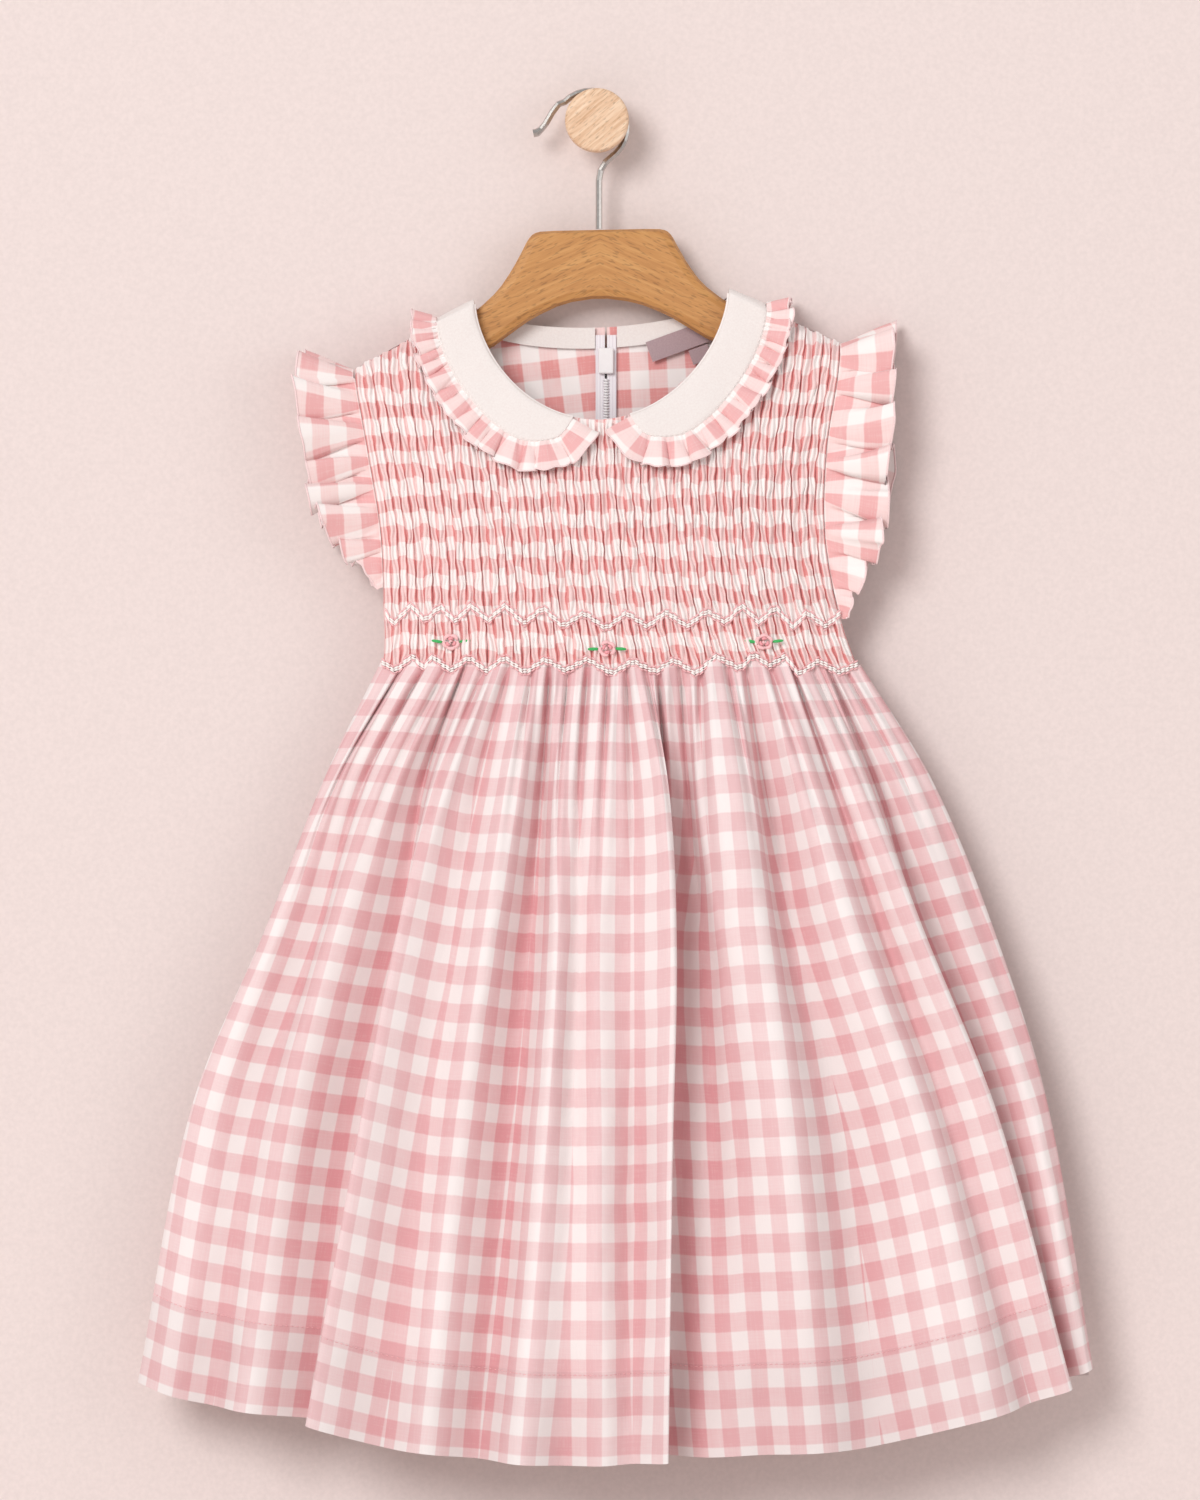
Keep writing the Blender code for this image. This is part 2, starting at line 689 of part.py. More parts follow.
def turn_about(obj, pivot):
    """Moves the object's origin onto the axis it turns about."""
    shift = obj.location - metres(pivot)
    for vertex in obj.data.vertices:
        vertex.co += shift
    obj.location = metres(pivot)


def labels(fabric, tab_fabric):
    """The neck label and its size tab, both bare, on the binding right of the zip."""
    turn = math.radians(20)
    y = back_y(40.0, -110.0) - CLOTH * SLOPE - GAP - 1.0 - GAP - 0.3
    block("neck_label", (34.0, 0.6, 10.5), (42.2, y, -109.8), fabric, turn)
    block("size_tab", (10.0, 0.6, 7.5), (51.9, y, -116.7), tab_fabric, turn)


HANGER_MIDDLE = 1.5
HANGER_HALF = (
    (0.0, -54.5),
    (29.0, -54.5),
    (33.5, -55.6),
    (36.2, -58.5),
    (39.0, -64.0),
    (44.0, -73.0),
    (51.0, -83.0),
    (61.0, -91.6),
    (66.0, -94.6),
    (90.0, -106.5),
    (108.0, -115.4),
    (113.5, -119.5),
    (115.5, -125.0),
    (113.5, -130.5),
    (107.0, -132.5),
    (80.0, -123.0),
    (55.0, -112.0),
    (46.0, -106.0),
    (34.0, -98.0),
    (18.0, -91.0),
    (0.0, -88.5),
)


def flat_curve(name, points, depth, edge, finish):
    """A closed outline in the XZ plane, thickened along Y, with rounded edges."""
    curve = bpy.data.curves.new(name, "CURVE")
    curve.dimensions = "2D"
    curve.fill_mode = "BOTH"
    curve.extrude = (depth / 2 - edge) * MM
    curve.bevel_depth = edge * MM
    curve.bevel_resolution = 1
    curve.offset = -edge * MM
    spline = curve.splines.new("POLY")
    spline.points.add(len(points) - 1)
    for place, (x, z) in zip(spline.points, points):
        place.co = (x * MM, z * MM, 0, 1)
    spline.use_cyclic_u = True
    obj = add_object(name, curve, finish)
    obj.rotation_euler.x = math.pi / 2
    return obj


def hanger(finish):
    """Two arms under the shoulders. They tilt with the dress, and the neck block is level."""
    points = []
    for side, half in ((1, HANGER_HALF), (-1, HANGER_HALF[-2:0:-1])):
        for out, height in half:
            tilt = TILT * side * out * min(out / 60, 1)
            points.append((HANGER_MIDDLE + side * out, height + tilt))
    rounded = []
    for here, ahead in zip(points, points[1:] + points[:1]):
        for part in (CORNER_CUT, 1 - CORNER_CUT):
            rounded.append((blend(here[0], ahead[0], part), blend(here[1], ahead[1], part)))
    obj = flat_curve("hanger", rounded, HANGER_THICK, HANGER_EDGE, finish)
    obj.location.y = SEAM_Y * MM


def hook(finish):
    """Steel wire over the knob's stem, behind its head, and down into the hanger."""
    route = list(HOOK_ROUTE)
    for i in range(16):
        angle = math.radians(blend(136, -46, i / 15))
        x = HOOK_CENTRE[0] + HOOK_RADIUS * math.cos(angle)
        route.append((x, HOOK_CENTRE[1] + HOOK_RADIUS * math.sin(angle)))
    route += HOOK_TAIL
    curve = bpy.data.curves.new("hook", "CURVE")
    curve.dimensions = "3D"
    curve.bevel_depth = WIRE * MM
    curve.bevel_resolution = 2
    curve.use_fill_caps = True
    spline = curve.splines.new("POLY")
    spline.points.add(len(route) - 1)
    for place, (x, z) in zip(spline.points, route):
        place.co = (x * MM, SEAM_Y * MM, z * MM, 1)
    spline.points[0].radius = 1.25
    spline.points[1].radius = 1.25
    add_object("hook", curve, finish)


def knob(finish):
    """Turned about Y: a stem against the wall, and a round head in front of the hook."""
    bm = bmesh.new()
    profile = [(0.0, KNOB_PROFILE[0][1])] + list(KNOB_PROFILE) + [(0.0, KNOB_PROFILE[-1][1])]
    places = [bm.verts.new(Vector((radius, 0.0, -y)) * MM) for radius, y in reversed(profile)]
    for a, b in zip(places, places[1:]):
        bm.edges.new((a, b))
    mesh = bpy.data.meshes.new("wall_knob")
    bm.to_mesh(mesh)
    bm.free()
    obj = add_object("wall_knob", mesh, finish)
    turned = obj.modifiers.new("turned", "SCREW")
    turned.steps = 32
    turned.render_steps = 32
    turned.use_merge_vertices = True
    turned.merge_threshold = 0.00001
    obj.rotation_euler.x = math.pi / 2


def main():
    for obj in list(bpy.data.objects):
        bpy.data.objects.remove(obj, do_unlink=True)
    for name in ("smocked_dress", "cutters"):
        made = bpy.data.collections.new(name)
        bpy.context.scene.collection.children.link(made)
        made.hide_render = name == "cutters"

    gingham = material("gingham_cotton", (0.87, 0.56, 0.57), 0.85)
    white = material("white_cotton", (0.88, 0.86, 0.84), 0.8)
    zip_white = material("zip_nylon", (0.85, 0.84, 0.84), 0.45)
    label = material("label_damask", (0.34, 0.24, 0.25), 0.7)
    beech = material("beech_oiled", (0.60, 0.36, 0.16), 0.45)
    maple = material("maple_turned", (0.72, 0.49, 0.33), 0.5)
    steel = material("steel_wire", (0.62, 0.61, 0.60), 0.28, 1.0)

    smocked_front(gingham)
    front_skirt(gingham)
    back_panel("back_left", -1, gingham)
    back_panel("back_right", 1, gingham)
    back_skirt(gingham)
    for name, side in (("left", -1), ("right", 1)):
        collar("collar_" + name, side, white)
        collar_ruffle("collar_ruffle_" + name, side, gingham)
        armhole_ruffle("armhole_ruffle_" + name, side, gingham)
        neck_binding("neck_binding_" + name, side, white)
    zip_fastener(zip_white, zip_white)
    labels(label, label)
    hanger(beech)
    hook(steel)
    knob(maple)


main()
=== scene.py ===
"""Looks of a child's smocked gingham dress on a hanger and a wall knob.

Tables and lengths are in millimetres, in the part's own frame: X to the right, Z up,
the dress's front towards -Y, and the wall at Y = 0. Meshes are made in metres.
"""

import math

import bpy
import numpy as np
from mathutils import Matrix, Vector


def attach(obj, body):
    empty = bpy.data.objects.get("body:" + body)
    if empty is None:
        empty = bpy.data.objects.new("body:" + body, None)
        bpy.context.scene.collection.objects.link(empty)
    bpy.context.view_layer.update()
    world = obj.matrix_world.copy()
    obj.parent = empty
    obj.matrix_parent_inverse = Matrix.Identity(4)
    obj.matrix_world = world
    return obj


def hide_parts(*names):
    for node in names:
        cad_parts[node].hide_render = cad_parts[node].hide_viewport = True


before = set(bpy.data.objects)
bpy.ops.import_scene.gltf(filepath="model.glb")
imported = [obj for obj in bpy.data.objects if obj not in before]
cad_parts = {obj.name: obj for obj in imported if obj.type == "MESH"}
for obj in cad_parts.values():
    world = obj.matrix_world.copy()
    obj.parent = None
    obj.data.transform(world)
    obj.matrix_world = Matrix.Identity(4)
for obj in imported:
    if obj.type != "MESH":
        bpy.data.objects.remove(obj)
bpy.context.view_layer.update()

MM = 0.001
GAP = 0.3
CLOTH = 1.5

# Shape of the garment, as in the part's source
NECK_X = 2.25
NECK_HALF = 63.75
NECK_TOP = -89.2
FRONT_DROP = 61.0
BACK_DROP = 14.0
SHOULDER_SLOPE = 0.495
TILT = 0.043
SEAM_Y = -17.0
SHOULDER_TIP = -118.0
UNDERARM = {-1: -234.0, 1: -250.0}
WAIST = -277.0
SECTIONS = (
    (-86.0, -122.5, 124.0, -26.5, -26.0, -7.5, -6.5),
    (-125.0, -121.5, 121.0, -31.0, -26.0, -7.8, -6.5),
    (-165.0, -115.0, 115.0, -39.0, -26.5, -9.5, -6.5),
    (-205.0, -108.5, 114.0, -46.0, -27.5, -15.0, -6.5),
    (-240.0, -107.0, 119.5, -50.0, -29.4, -25.0, -6.5),
    (-277.0, -108.5, 132.0, -53.0, -31.4, -27.0, -6.5),
    (-340.0, -136.5, 167.0, -62.0, -34.0, -30.0, -7.0),
    (-415.0, -164.5, 196.5, -71.0, -37.0, -33.0, -8.0),
    (-515.0, -203.0, 225.0, -79.0, -41.0, -37.0, -10.0),
    (-590.0, -220.0, 242.0, -85.0, -43.0, -39.0, -12.0),
    (-680.0, -231.0, 249.0, -90.0, -45.0, -41.0, -13.0),
)
FRONT_ROUND = 2.4
BACK_ROUND = 4.0
FOLD_LEVELS = (0.0, 0.16, 0.36, 0.62, 1.0)
ACROSS, OUT_HIP, OUT_HEM, HEM = slice(0, 5), 5, 6, 7
FRONT_FOLDS = (
    (-108.5, -136.5, -164.5, -203.0, -229.5, 0, 0, -631.5),
    (-97.5, -130.5, -156.0, -189.5, -212.5, 3, 4, -638.0),
    (-86.5, -117.5, -139.5, -168.5, -191.5, -3, -3, -642.5),
    (-75.5, -105.5, -129.5, -152.5, -173.5, 4, 3, -645.5),
    (-65.5, -86.5, -97.5, -115.5, -139.5, -8, -10, -649.0),
    (-56.5, -80.0, -99.5, -118.0, -143.5, 6, 10, -651.5),
    (-43.5, -59.5, -72.5, -87.5, -106.0, -2, -2, -662.0),
    (-32.5, -42.0, -53.5, -67.5, -83.5, 5, 2, -665.0),
    (-23.5, -27.5, -33.5, -42.5, -58.5, -6, -5, -667.5),
    (-14.5, -19.5, -21.0, -27.0, -39.5, 5, 5, -669.5),
    (-4.5, -8.5, -10.0, -12.5, -17.5, 1, 1, -670.5),
    (5.5, 2.5, 0.5, 1.5, 1.5, 4, 3, -670.5),
    (14.5, 17.5, 18.5, 18.5, 17.5, 0, 0, -669.5),
    (24.0, 35.5, 39.0, 37.0, 35.0, 9, 10, -668.5),
    (30.5, 34.0, 36.5, 34.5, 32.0, -9, -9, -666.0),
    (41.5, 45.5, 52.5, 54.0, 54.0, -9, -7, -667.0),
    (51.5, 53.5, 63.5, 69.5, 81.5, 2, -3, -665.5),
    (64.5, 75.5, 85.5, 97.5, 110.5, 7, 4, -664.5),
    (74.0, 84.0, 100.0, 124.5, 141.5, -5, -5, -661.0),
    (86.5, 105.5, 129.5, 164.0, 196.5, 6, 6, -648.0),
    (97.5, 118.5, 143.5, 176.5, 216.5, -2, 0, -641.0),
    (107.5, 132.5, 160.5, 198.5, 236.5, 5, 9, -634.5),
    (115.5, 139.5, 162.5, 197.5, 232.5, -5, -7, -630.5),
    (124.5, 154.5, 182.5, 215.5, 243.5, 2, 0, -627.0),
    (132.0, 167.0, 196.5, 225.0, 248.0, 0, 0, -624.5),
)
BACK_FOLDS = 8
BACK_FOLD_HEM = 6.0
BACK_HEM_SIDE = -628.0
BACK_HEM_DIP = 14.0
COLLAR_WIDTHS = (
    (13, 0.8),
    (14.3, 6),
    (16.5, 11.5),
    (21, 16),
    (29, 20.8),
    (39, 21.8),
    (50, 21.5),
    (90, 21.5),
)
BACK_COLLAR_WIDTHS = ((90, 21.5), (45, 21.5), (28, 19), (19, 13), (15, 4))
COLLAR_LIFT = 2.5
COLLAR = 1.2
COLLAR_RUFFLES = ((0, 15.0), (0.4, 13.8), (0.7, 12.8), (1, 12.3), (3, 11.0))
COLLAR_WAVES = 26
ARM_WIDTHS = ((0, 2.5), (0.12, 11), (0.25, 21), (0.4, 27), (0.75, 29), (1, 25))
ARM_WAVES = 16
ARM_CLEAR = 0.9
ARM_FALL, ARM_RISE = -0.16, 0.12
ZIP_X = 4.5
KNOB_PROFILE = (
    (11.9, 0.0),
    (11.9, -20.5),
    (14.6, -20.5),
    (16.0, -21.9),
    (16.0, -31.6),
    (14.6, -33.0),
)

# Gingham: white and pink squares of 3/8 inch, woven from threads of about 0.3 mm
CHECK = 9.3
HEM_DEPTH = 45.0
FOLD_DEPTH = 1.55  # the soft cloth's folds beside the stiffer solid's
SKIRT_STEPS = 14
PLEATS = 54
PLEAT_COLUMNS = 12
SMOCK_LINES = 130
SMOCK_ROW = 12.0  # height of a smocking row, where neighbouring pleats are caught together
SMOCK_SHRINK = 0.83  # how much shorter the smocking makes the cloth
RIDGE = 2.3
VALLEY = 2.0

# Trellis stitch: peaks and valleys of the two zigzag rows
UPPER_ROW = (
    (-106.0, -246.0), (-102.5, -253.0), (-93.0, -243.0), (-86.0, -251.0), (-78.5, -243.5),
    (-71.0, -251.5), (-63.0, -243.0), (-54.5, -251.0), (-46.0, -243.0), (-36.5, -252.5),
    (-27.0, -244.5), (-17.0, -254.0), (-6.5, -247.0), (4.5, -255.0), (14.5, -247.0),
    (25.0, -254.0), (34.5, -246.5), (45.0, -254.0), (54.5, -246.0), (64.5, -252.0),
    (72.0, -243.0), (81.0, -252.0), (89.0, -244.0), (98.0, -254.5), (105.0, -246.5),
    (114.0, -254.0), (122.0, -247.0),
)
LOWER_ROW = (
    (-108.0, -271.0), (-101.0, -276.0), (-92.0, -268.0), (-87.0, -275.0), (-82.5, -268.5),
    (-73.0, -276.0), (-64.0, -269.0), (-55.0, -276.5), (-46.5, -269.0), (-36.0, -277.0),
    (-26.0, -270.0), (-16.0, -276.0), (-5.0, -270.0), (7.5, -277.5), (17.5, -271.0),
    (29.0, -276.5), (38.5, -270.5), (49.5, -277.5), (59.5, -268.5), (71.5, -275.0),
    (78.0, -267.5), (86.0, -273.5), (94.0, -268.5), (101.0, -278.0), (110.5, -270.5),
    (121.0, -277.0), (131.0, -272.0),
)
WALL_COLOUR = "#E7DAD7"
ROSES = ((-73.0, -261.5), (5.0, -265.0), (83.5, -261.5))


def between(rows, value):
    """The other columns of a table at this value of its first column, on smooth curves."""
    rows = sorted(rows)
    value = min(max(value, rows[0][0]), rows[-1][0])
    at = max(i for i in range(len(rows) - 1) if rows[i][0] <= value)
    low, high = rows[at], rows[at + 1]
    before, after = rows[max(at - 1, 0)], rows[min(at + 2, len(rows) - 1)]
    span = high[0] - low[0]
    t = (value - low[0]) / span
    found = []
    for k in range(1, len(low)):
        slope_low = (high[k] - before[k]) / (high[0] - before[0]) * span
        slope_high = (after[k] - low[k]) / (after[0] - low[0]) * span
        found.append(
            low[k] * (2 * t**3 - 3 * t**2 + 1)
            + slope_low * (t**3 - 2 * t**2 + t)
            + high[k] * (3 * t**2 - 2 * t**3)
            + slope_high * (t**3 - t**2)
        )
    return found


SECTION_HEIGHTS = np.linspace(-690.0, -80.0, 1221)
SECTION_COLUMNS = np.array([between(SECTIONS, z) for z in SECTION_HEIGHTS]).T


def section(z):
    """Left, right, front, front side, back side and back of the garment at heights z."""
    return [np.interp(z, SECTION_HEIGHTS, column) for column in SECTION_COLUMNS]


def blend(low, high, t):
    return low + (high - low) * t


def front_y(x, z):
    left, right, front, side, _, _ = section(z)
    middle = (left + right) / 2
    part = np.minimum(np.abs(x - middle) / (right - middle), 1)
    return side + (front - side) * (1 - part**FRONT_ROUND)


def back_y(x, z):
    left, right, _, _, side, back = section(z)
    middle = (left + right) / 2
    part = np.minimum(np.abs(x - middle) / (right - middle), 1)
    return side + (back - side) * (1 - part**BACK_ROUND)


def seam_closing(z, from_edge, reach):
    """How far an edge turns over the side seam to meet the other side, below the armhole."""
    _, _, _, front_side, back_side, _ = section(z)
    apart = back_side - front_side
    return (apart / 2 - 0.05) * np.clip(6 - apart, 0, 1) * np.clip(1 - from_edge / reach, 0, 1)


def top_edge(x, drop):
    """Height of a panel's top: the neckline inside the neck points, the shoulder outside."""
    part = (x - NECK_X) / NECK_HALF
    top = NECK_TOP + TILT * x
    inside = top - drop * np.maximum(1 - part**2, 0) ** 0.6
    return np.where(np.abs(part) < 1, inside, top - SHOULDER_SLOPE * (np.abs(part) - 1) * NECK_HALF)


def uneven(a, b):
    """A repeatable value from -1 to 1, for things that aren't all alike."""
    return np.sin(a * 12.9898 + b * 4.1414) * np.cos(a * 3.7 - b * 7.3)


def soft_noise(a, b, seed, scale):
    """Smooth unevenness of about one unit over a surface, with this wavelength in mm."""
    total = 0.0
    for k in range(5):
        turn = seed * 1.7 + k * 2.399
        size = 2 * math.pi / (scale * (0.7 + 0.22 * k))
        total = total + np.sin((a * math.cos(turn) + b * math.sin(turn)) * size + seed * 3.1 + k)
    return total / 2.6


def linear(code):
    """An sRGB hex colour as the linear RGBA that a shader takes."""
    parts = [int(code[i : i + 2], 16) / 255 for i in (1, 3, 5)]
    return [p / 12.92 if p <= 0.04045 else ((p + 0.055) / 1.055) ** 2.4 for p in parts] + [1.0]


def add_node(material, kind, settings=None, **links):
    """Adds a shader node: settings by attribute or socket name, links by socket name."""
    node = material.node_tree.nodes.new(kind)
    for key, value in (settings or {}).items():
        if isinstance(key, str) and hasattr(node, key):
            setattr(node, key, value)
        else:
            node.inputs[key].default_value = value
    for key, source in links.items():
        place = int(key[1:]) if key[0] == "_" else key.replace("_", " ")
        material.node_tree.links.new(source, node.inputs[place])
    return node


def start_material(name):
    """A new material with its shader: its roughness and gloss are set by the caller."""
    made = bpy.data.materials.new(name)
    made.use_nodes = True
    return made, made.node_tree.nodes["Principled BSDF"]


def finish_surface(made, shader, colour=None, bump=None):
    links = made.node_tree.links
    if colour is not None:
        links.new(colour, shader.inputs["Base Color"])
    if bump is not None:
        links.new(bump, shader.inputs["Normal"])
    return made


def set_cloth_gloss(shader, roughness, sheen):
    """Woven fibres scatter light widely, with a faint soft rim and almost no gloss."""
    shader.inputs["Roughness"].default_value = roughness
    shader.inputs["IOR"].default_value = 1.45
    shader.inputs["Specular IOR Level"].default_value = 0.25
    shader.inputs["Sheen Weight"].default_value = sheen
    shader.inputs["Sheen Roughness"].default_value = 0.5


def woven_threads(made, place, pitch, slub):
    """Thread relief and slubs from the place on the flat cloth: (bump normal, slub values)."""
    split = add_node(made, "ShaderNodeSeparateXYZ", _0=place)
    across_threads = add_node(
        made, "ShaderNodeCombineXYZ", {2: 0.0},
        _0=add_node(made, "ShaderNodeMath", {"operation": "MULTIPLY", 1: slub}, _0=split.outputs[0]).outputs[0],
        _1=split.outputs[1],
    )
    down_threads = add_node(
        made, "ShaderNodeCombineXYZ", {2: 7.0},
        _0=split.outputs[0],
        _1=add_node(made, "ShaderNodeMath", {"operation": "MULTIPLY", 1: slub}, _0=split.outputs[1]).outputs[0],
    )
    weft, warp = [
        add_node(made, "ShaderNodeTexNoise", {"Scale": 1 / pitch, "Detail": 1.0}, Vector=v.outputs[0])
        for v in (across_threads, down_threads)
    ]
    both = add_node(made, "ShaderNodeMath", {"operation": "ADD"}, _0=weft.outputs[0], _1=warp.outputs[0])
    bump = add_node(
        made, "ShaderNodeBump", {"Strength": 0.35, "Distance": 0.12 * MM}, Height=both.outputs[0]
    )
    return bump.outputs[0], both.outputs[0]


def gingham_cotton(name, codes, turned_up=0.0):
    """Yarn-dyed cotton gingham, plain weave: white, half-pink and pink squares.

    The threads are 0.3 mm; they are drawn at 0.8 mm, so that faint streaks show.
    Within turned_up mm of the hem the cloth is double, so it lets no light through: there its colour is painted a
    little darker, as painted shade.
    """
    made, shader = start_material(name)
    set_cloth_gloss(shader, 0.88, 0.12)
    place = add_node(made, "ShaderNodeUVMap", {"uv_map": "cloth_mm"}).outputs[0]
    bump, threads = woven_threads(made, place, 0.8, 0.06)
    split = add_node(made, "ShaderNodeSeparateXYZ", _0=place)
    stripes = []
    for axis in (0, 1):
        cycle = add_node(
            made, "ShaderNodeMath", {"operation": "MULTIPLY", 1: 1 / (2 * CHECK)}, _0=split.outputs[axis]
        )
        part = add_node(made, "ShaderNodeMath", {"operation": "FRACT"}, _0=cycle.outputs[0])
        off = add_node(made, "ShaderNodeMath", {"operation": "SUBTRACT", 1: 0.5}, _0=part.outputs[0])
        away = add_node(made, "ShaderNodeMath", {"operation": "ABSOLUTE"}, _0=off.outputs[0])
        stripe = add_node(
            made, "ShaderNodeMapRange",
            {"interpolation_type": "SMOOTHSTEP", 1: 0.225, 2: 0.275, 3: 1.0, 4: 0.0},
            _0=away.outputs[0],
        )
        stripes.append(stripe.outputs[0])
    dyed = add_node(made, "ShaderNodeMath", {"operation": "ADD"}, _0=stripes[0], _1=stripes[1])
    streak = add_node(
        made, "ShaderNodeMapRange", {1: 0.6, 2: 1.4, 3: 0.42, 4: 0.58, "clamp": True}, _0=threads
    )
    depth = add_node(
        made, "ShaderNodeMath", {"operation": "MULTIPLY"}, _0=dyed.outputs[0], _1=streak.outputs[0]
    )
    colour = add_node(made, "ShaderNodeValToRGB", _0=depth.outputs[0])
    ramp = colour.color_ramp
    ramp.elements[0].color = linear(codes[0])
    ramp.elements[1].color = linear(codes[2])
    middle = ramp.elements.new(0.5)
    middle.color = linear(codes[1])
    if not turned_up:
        return finish_surface(made, shader, colour.outputs[0], bump)
    # Painted shade: the doubled hem is darkened for the light it does not let through
    double = add_node(
        made, "ShaderNodeMath", {"operation": "GREATER_THAN", 1: -turned_up}, _0=split.outputs[1]
    )
    painted_hem_shade = add_node(made, "ShaderNodeMapRange", {3: 1.0, 4: 0.94}, _0=double.outputs[0])
    # Painted shade and reflected light: deep in a fold the cloth is painted darker and more saturated pink, for
    # the shade there and the pink light that the fold's sides throw on each other
    painted_fold_shade = add_node(made, "ShaderNodeAttribute", {"attribute_name": "painted_fold_shade"})
    painted_fold_tint = add_node(made, "ShaderNodeMapRange", {3: 0.82, 4: 1.3}, _0=painted_fold_shade.outputs["Fac"])
    painted_fold_dimming = add_node(made, "ShaderNodeMapRange", {3: 1.03, 4: 0.88}, _0=painted_fold_shade.outputs["Fac"])
    value = add_node(
        made, "ShaderNodeMath", {"operation": "MULTIPLY"}, _0=painted_hem_shade.outputs[0], _1=painted_fold_dimming.outputs[0]
    )
    shade = add_node(
        made, "ShaderNodeHueSaturation", Color=colour.outputs[0], Saturation=painted_fold_tint.outputs[0],
        Value=value.outputs[0],
    )
    return finish_surface(made, shader, shade.outputs[0], bump)


def white_lawn():
    """Plain white cotton lawn, bleached and pressed: matt, very fine threads."""
    made, shader = start_material("white_cotton_lawn")
    set_cloth_gloss(shader, 0.85, 0.1)
    place = add_node(made, "ShaderNodeTexCoord").outputs["Object"]
    noise = add_node(made, "ShaderNodeTexNoise", {"Scale": 1 / (0.9 * MM), "Detail": 2.0}, Vector=place)
    tone = add_node(
        made, "ShaderNodeMapRange", {1: 0.3, 2: 0.7, 3: 0.0, 4: 1.0}, _0=noise.outputs[0]
    )
    colour = add_node(
        made, "ShaderNodeMix", {"data_type": "RGBA", 6: linear("#EAE2DF"), 7: linear("#EFE9E6")},
        _0=tone.outputs[0],
    )
    bump = add_node(
        made, "ShaderNodeBump", {"Strength": 0.2, "Distance": 0.1 * MM}, Height=noise.outputs[0]
    )
    return finish_surface(made, shader, colour.outputs[2], bump.outputs[0])


def thread(name, code, roughness=0.55):
    """Stranded cotton, mercerised: a soft shine along the stitch, with fibre streaks."""
    made, shader = start_material(name)
    set_cloth_gloss(shader, roughness, 0.2)
    place = add_node(made, "ShaderNodeTexCoord").outputs["Object"]
    noise = add_node(made, "ShaderNodeTexNoise", {"Scale": 1 / (0.5 * MM), "Detail": 1.0}, Vector=place)
    shade = add_node(
        made, "ShaderNodeHueSaturation", {"Color": linear(code)},
        Value=add_node(
            made, "ShaderNodeMapRange", {1: 0.3, 2: 0.7, 3: 0.9, 4: 1.06}, _0=noise.outputs[0]
        ).outputs[0],
    )
    return finish_surface(made, shader, shade.outputs[0])


def zip_tape():
    """Knitted polyester zip tape: white, with a fine rib along its length."""
    made, shader = start_material("zip_tape_polyester_knitted")
    set_cloth_gloss(shader, 0.7, 0.1)
    place = add_node(made, "ShaderNodeTexCoord").outputs["Object"]
    rib = add_node(
        made, "ShaderNodeTexWave", {"bands_direction": "X", "Scale": 1 / (5.0 * MM), "Distortion": 0.3},
        Vector=place,
    )
    colour = add_node(
        made, "ShaderNodeMix", {"data_type": "RGBA", 6: linear("#E8E1E7"), 7: linear("#F4F0F4")},
        _0=rib.outputs[1],
    )
    bump = add_node(made, "ShaderNodeBump", {"Strength": 0.3, "Distance": 0.1 * MM}, Height=rib.outputs[1])
    return finish_surface(made, shader, colour.outputs[2], bump.outputs[0])


def zip_enamel():
    """Zinc zip slider with white baked enamel: a soft highlight."""
    made, shader = start_material("zip_slider_zinc_enamelled")
    shader.inputs["Roughness"].default_value = 0.3
    place = add_node(made, "ShaderNodeTexCoord").outputs["Object"]
    noise = add_node(made, "ShaderNodeTexNoise", {"Scale": 1 / (3 * MM)}, Vector=place)
    colour = add_node(
        made, "ShaderNodeMix", {"data_type": "RGBA", 6: linear("#EDE9EA"), 7: linear("#F6F3F4")},
        _0=noise.outputs[0],
    )
    return finish_surface(made, shader, colour.outputs[2])


def label_satin():
    """Woven polyester damask label, dusty mauve, left bare: a satin rib along its length."""
    made, shader = start_material("label_damask_woven")
    set_cloth_gloss(shader, 0.5, 0.3)
    place = add_node(made, "ShaderNodeTexCoord").outputs["Object"]
    rib = add_node(
        made, "ShaderNodeTexNoise", {"Scale": 1 / (0.8 * MM), "Detail": 2.0}, Vector=place
    )
    colour = add_node(
        made, "ShaderNodeMix", {"data_type": "RGBA", 6: linear("#A58B90"), 7: linear("#B9A2A6")},
        _0=rib.outputs[0],
    )
    bump = add_node(made, "ShaderNodeBump", {"Strength": 0.2, "Distance": 0.1 * MM}, Height=rib.outputs[0])
    return finish_surface(made, shader, colour.outputs[2], bump.outputs[0])


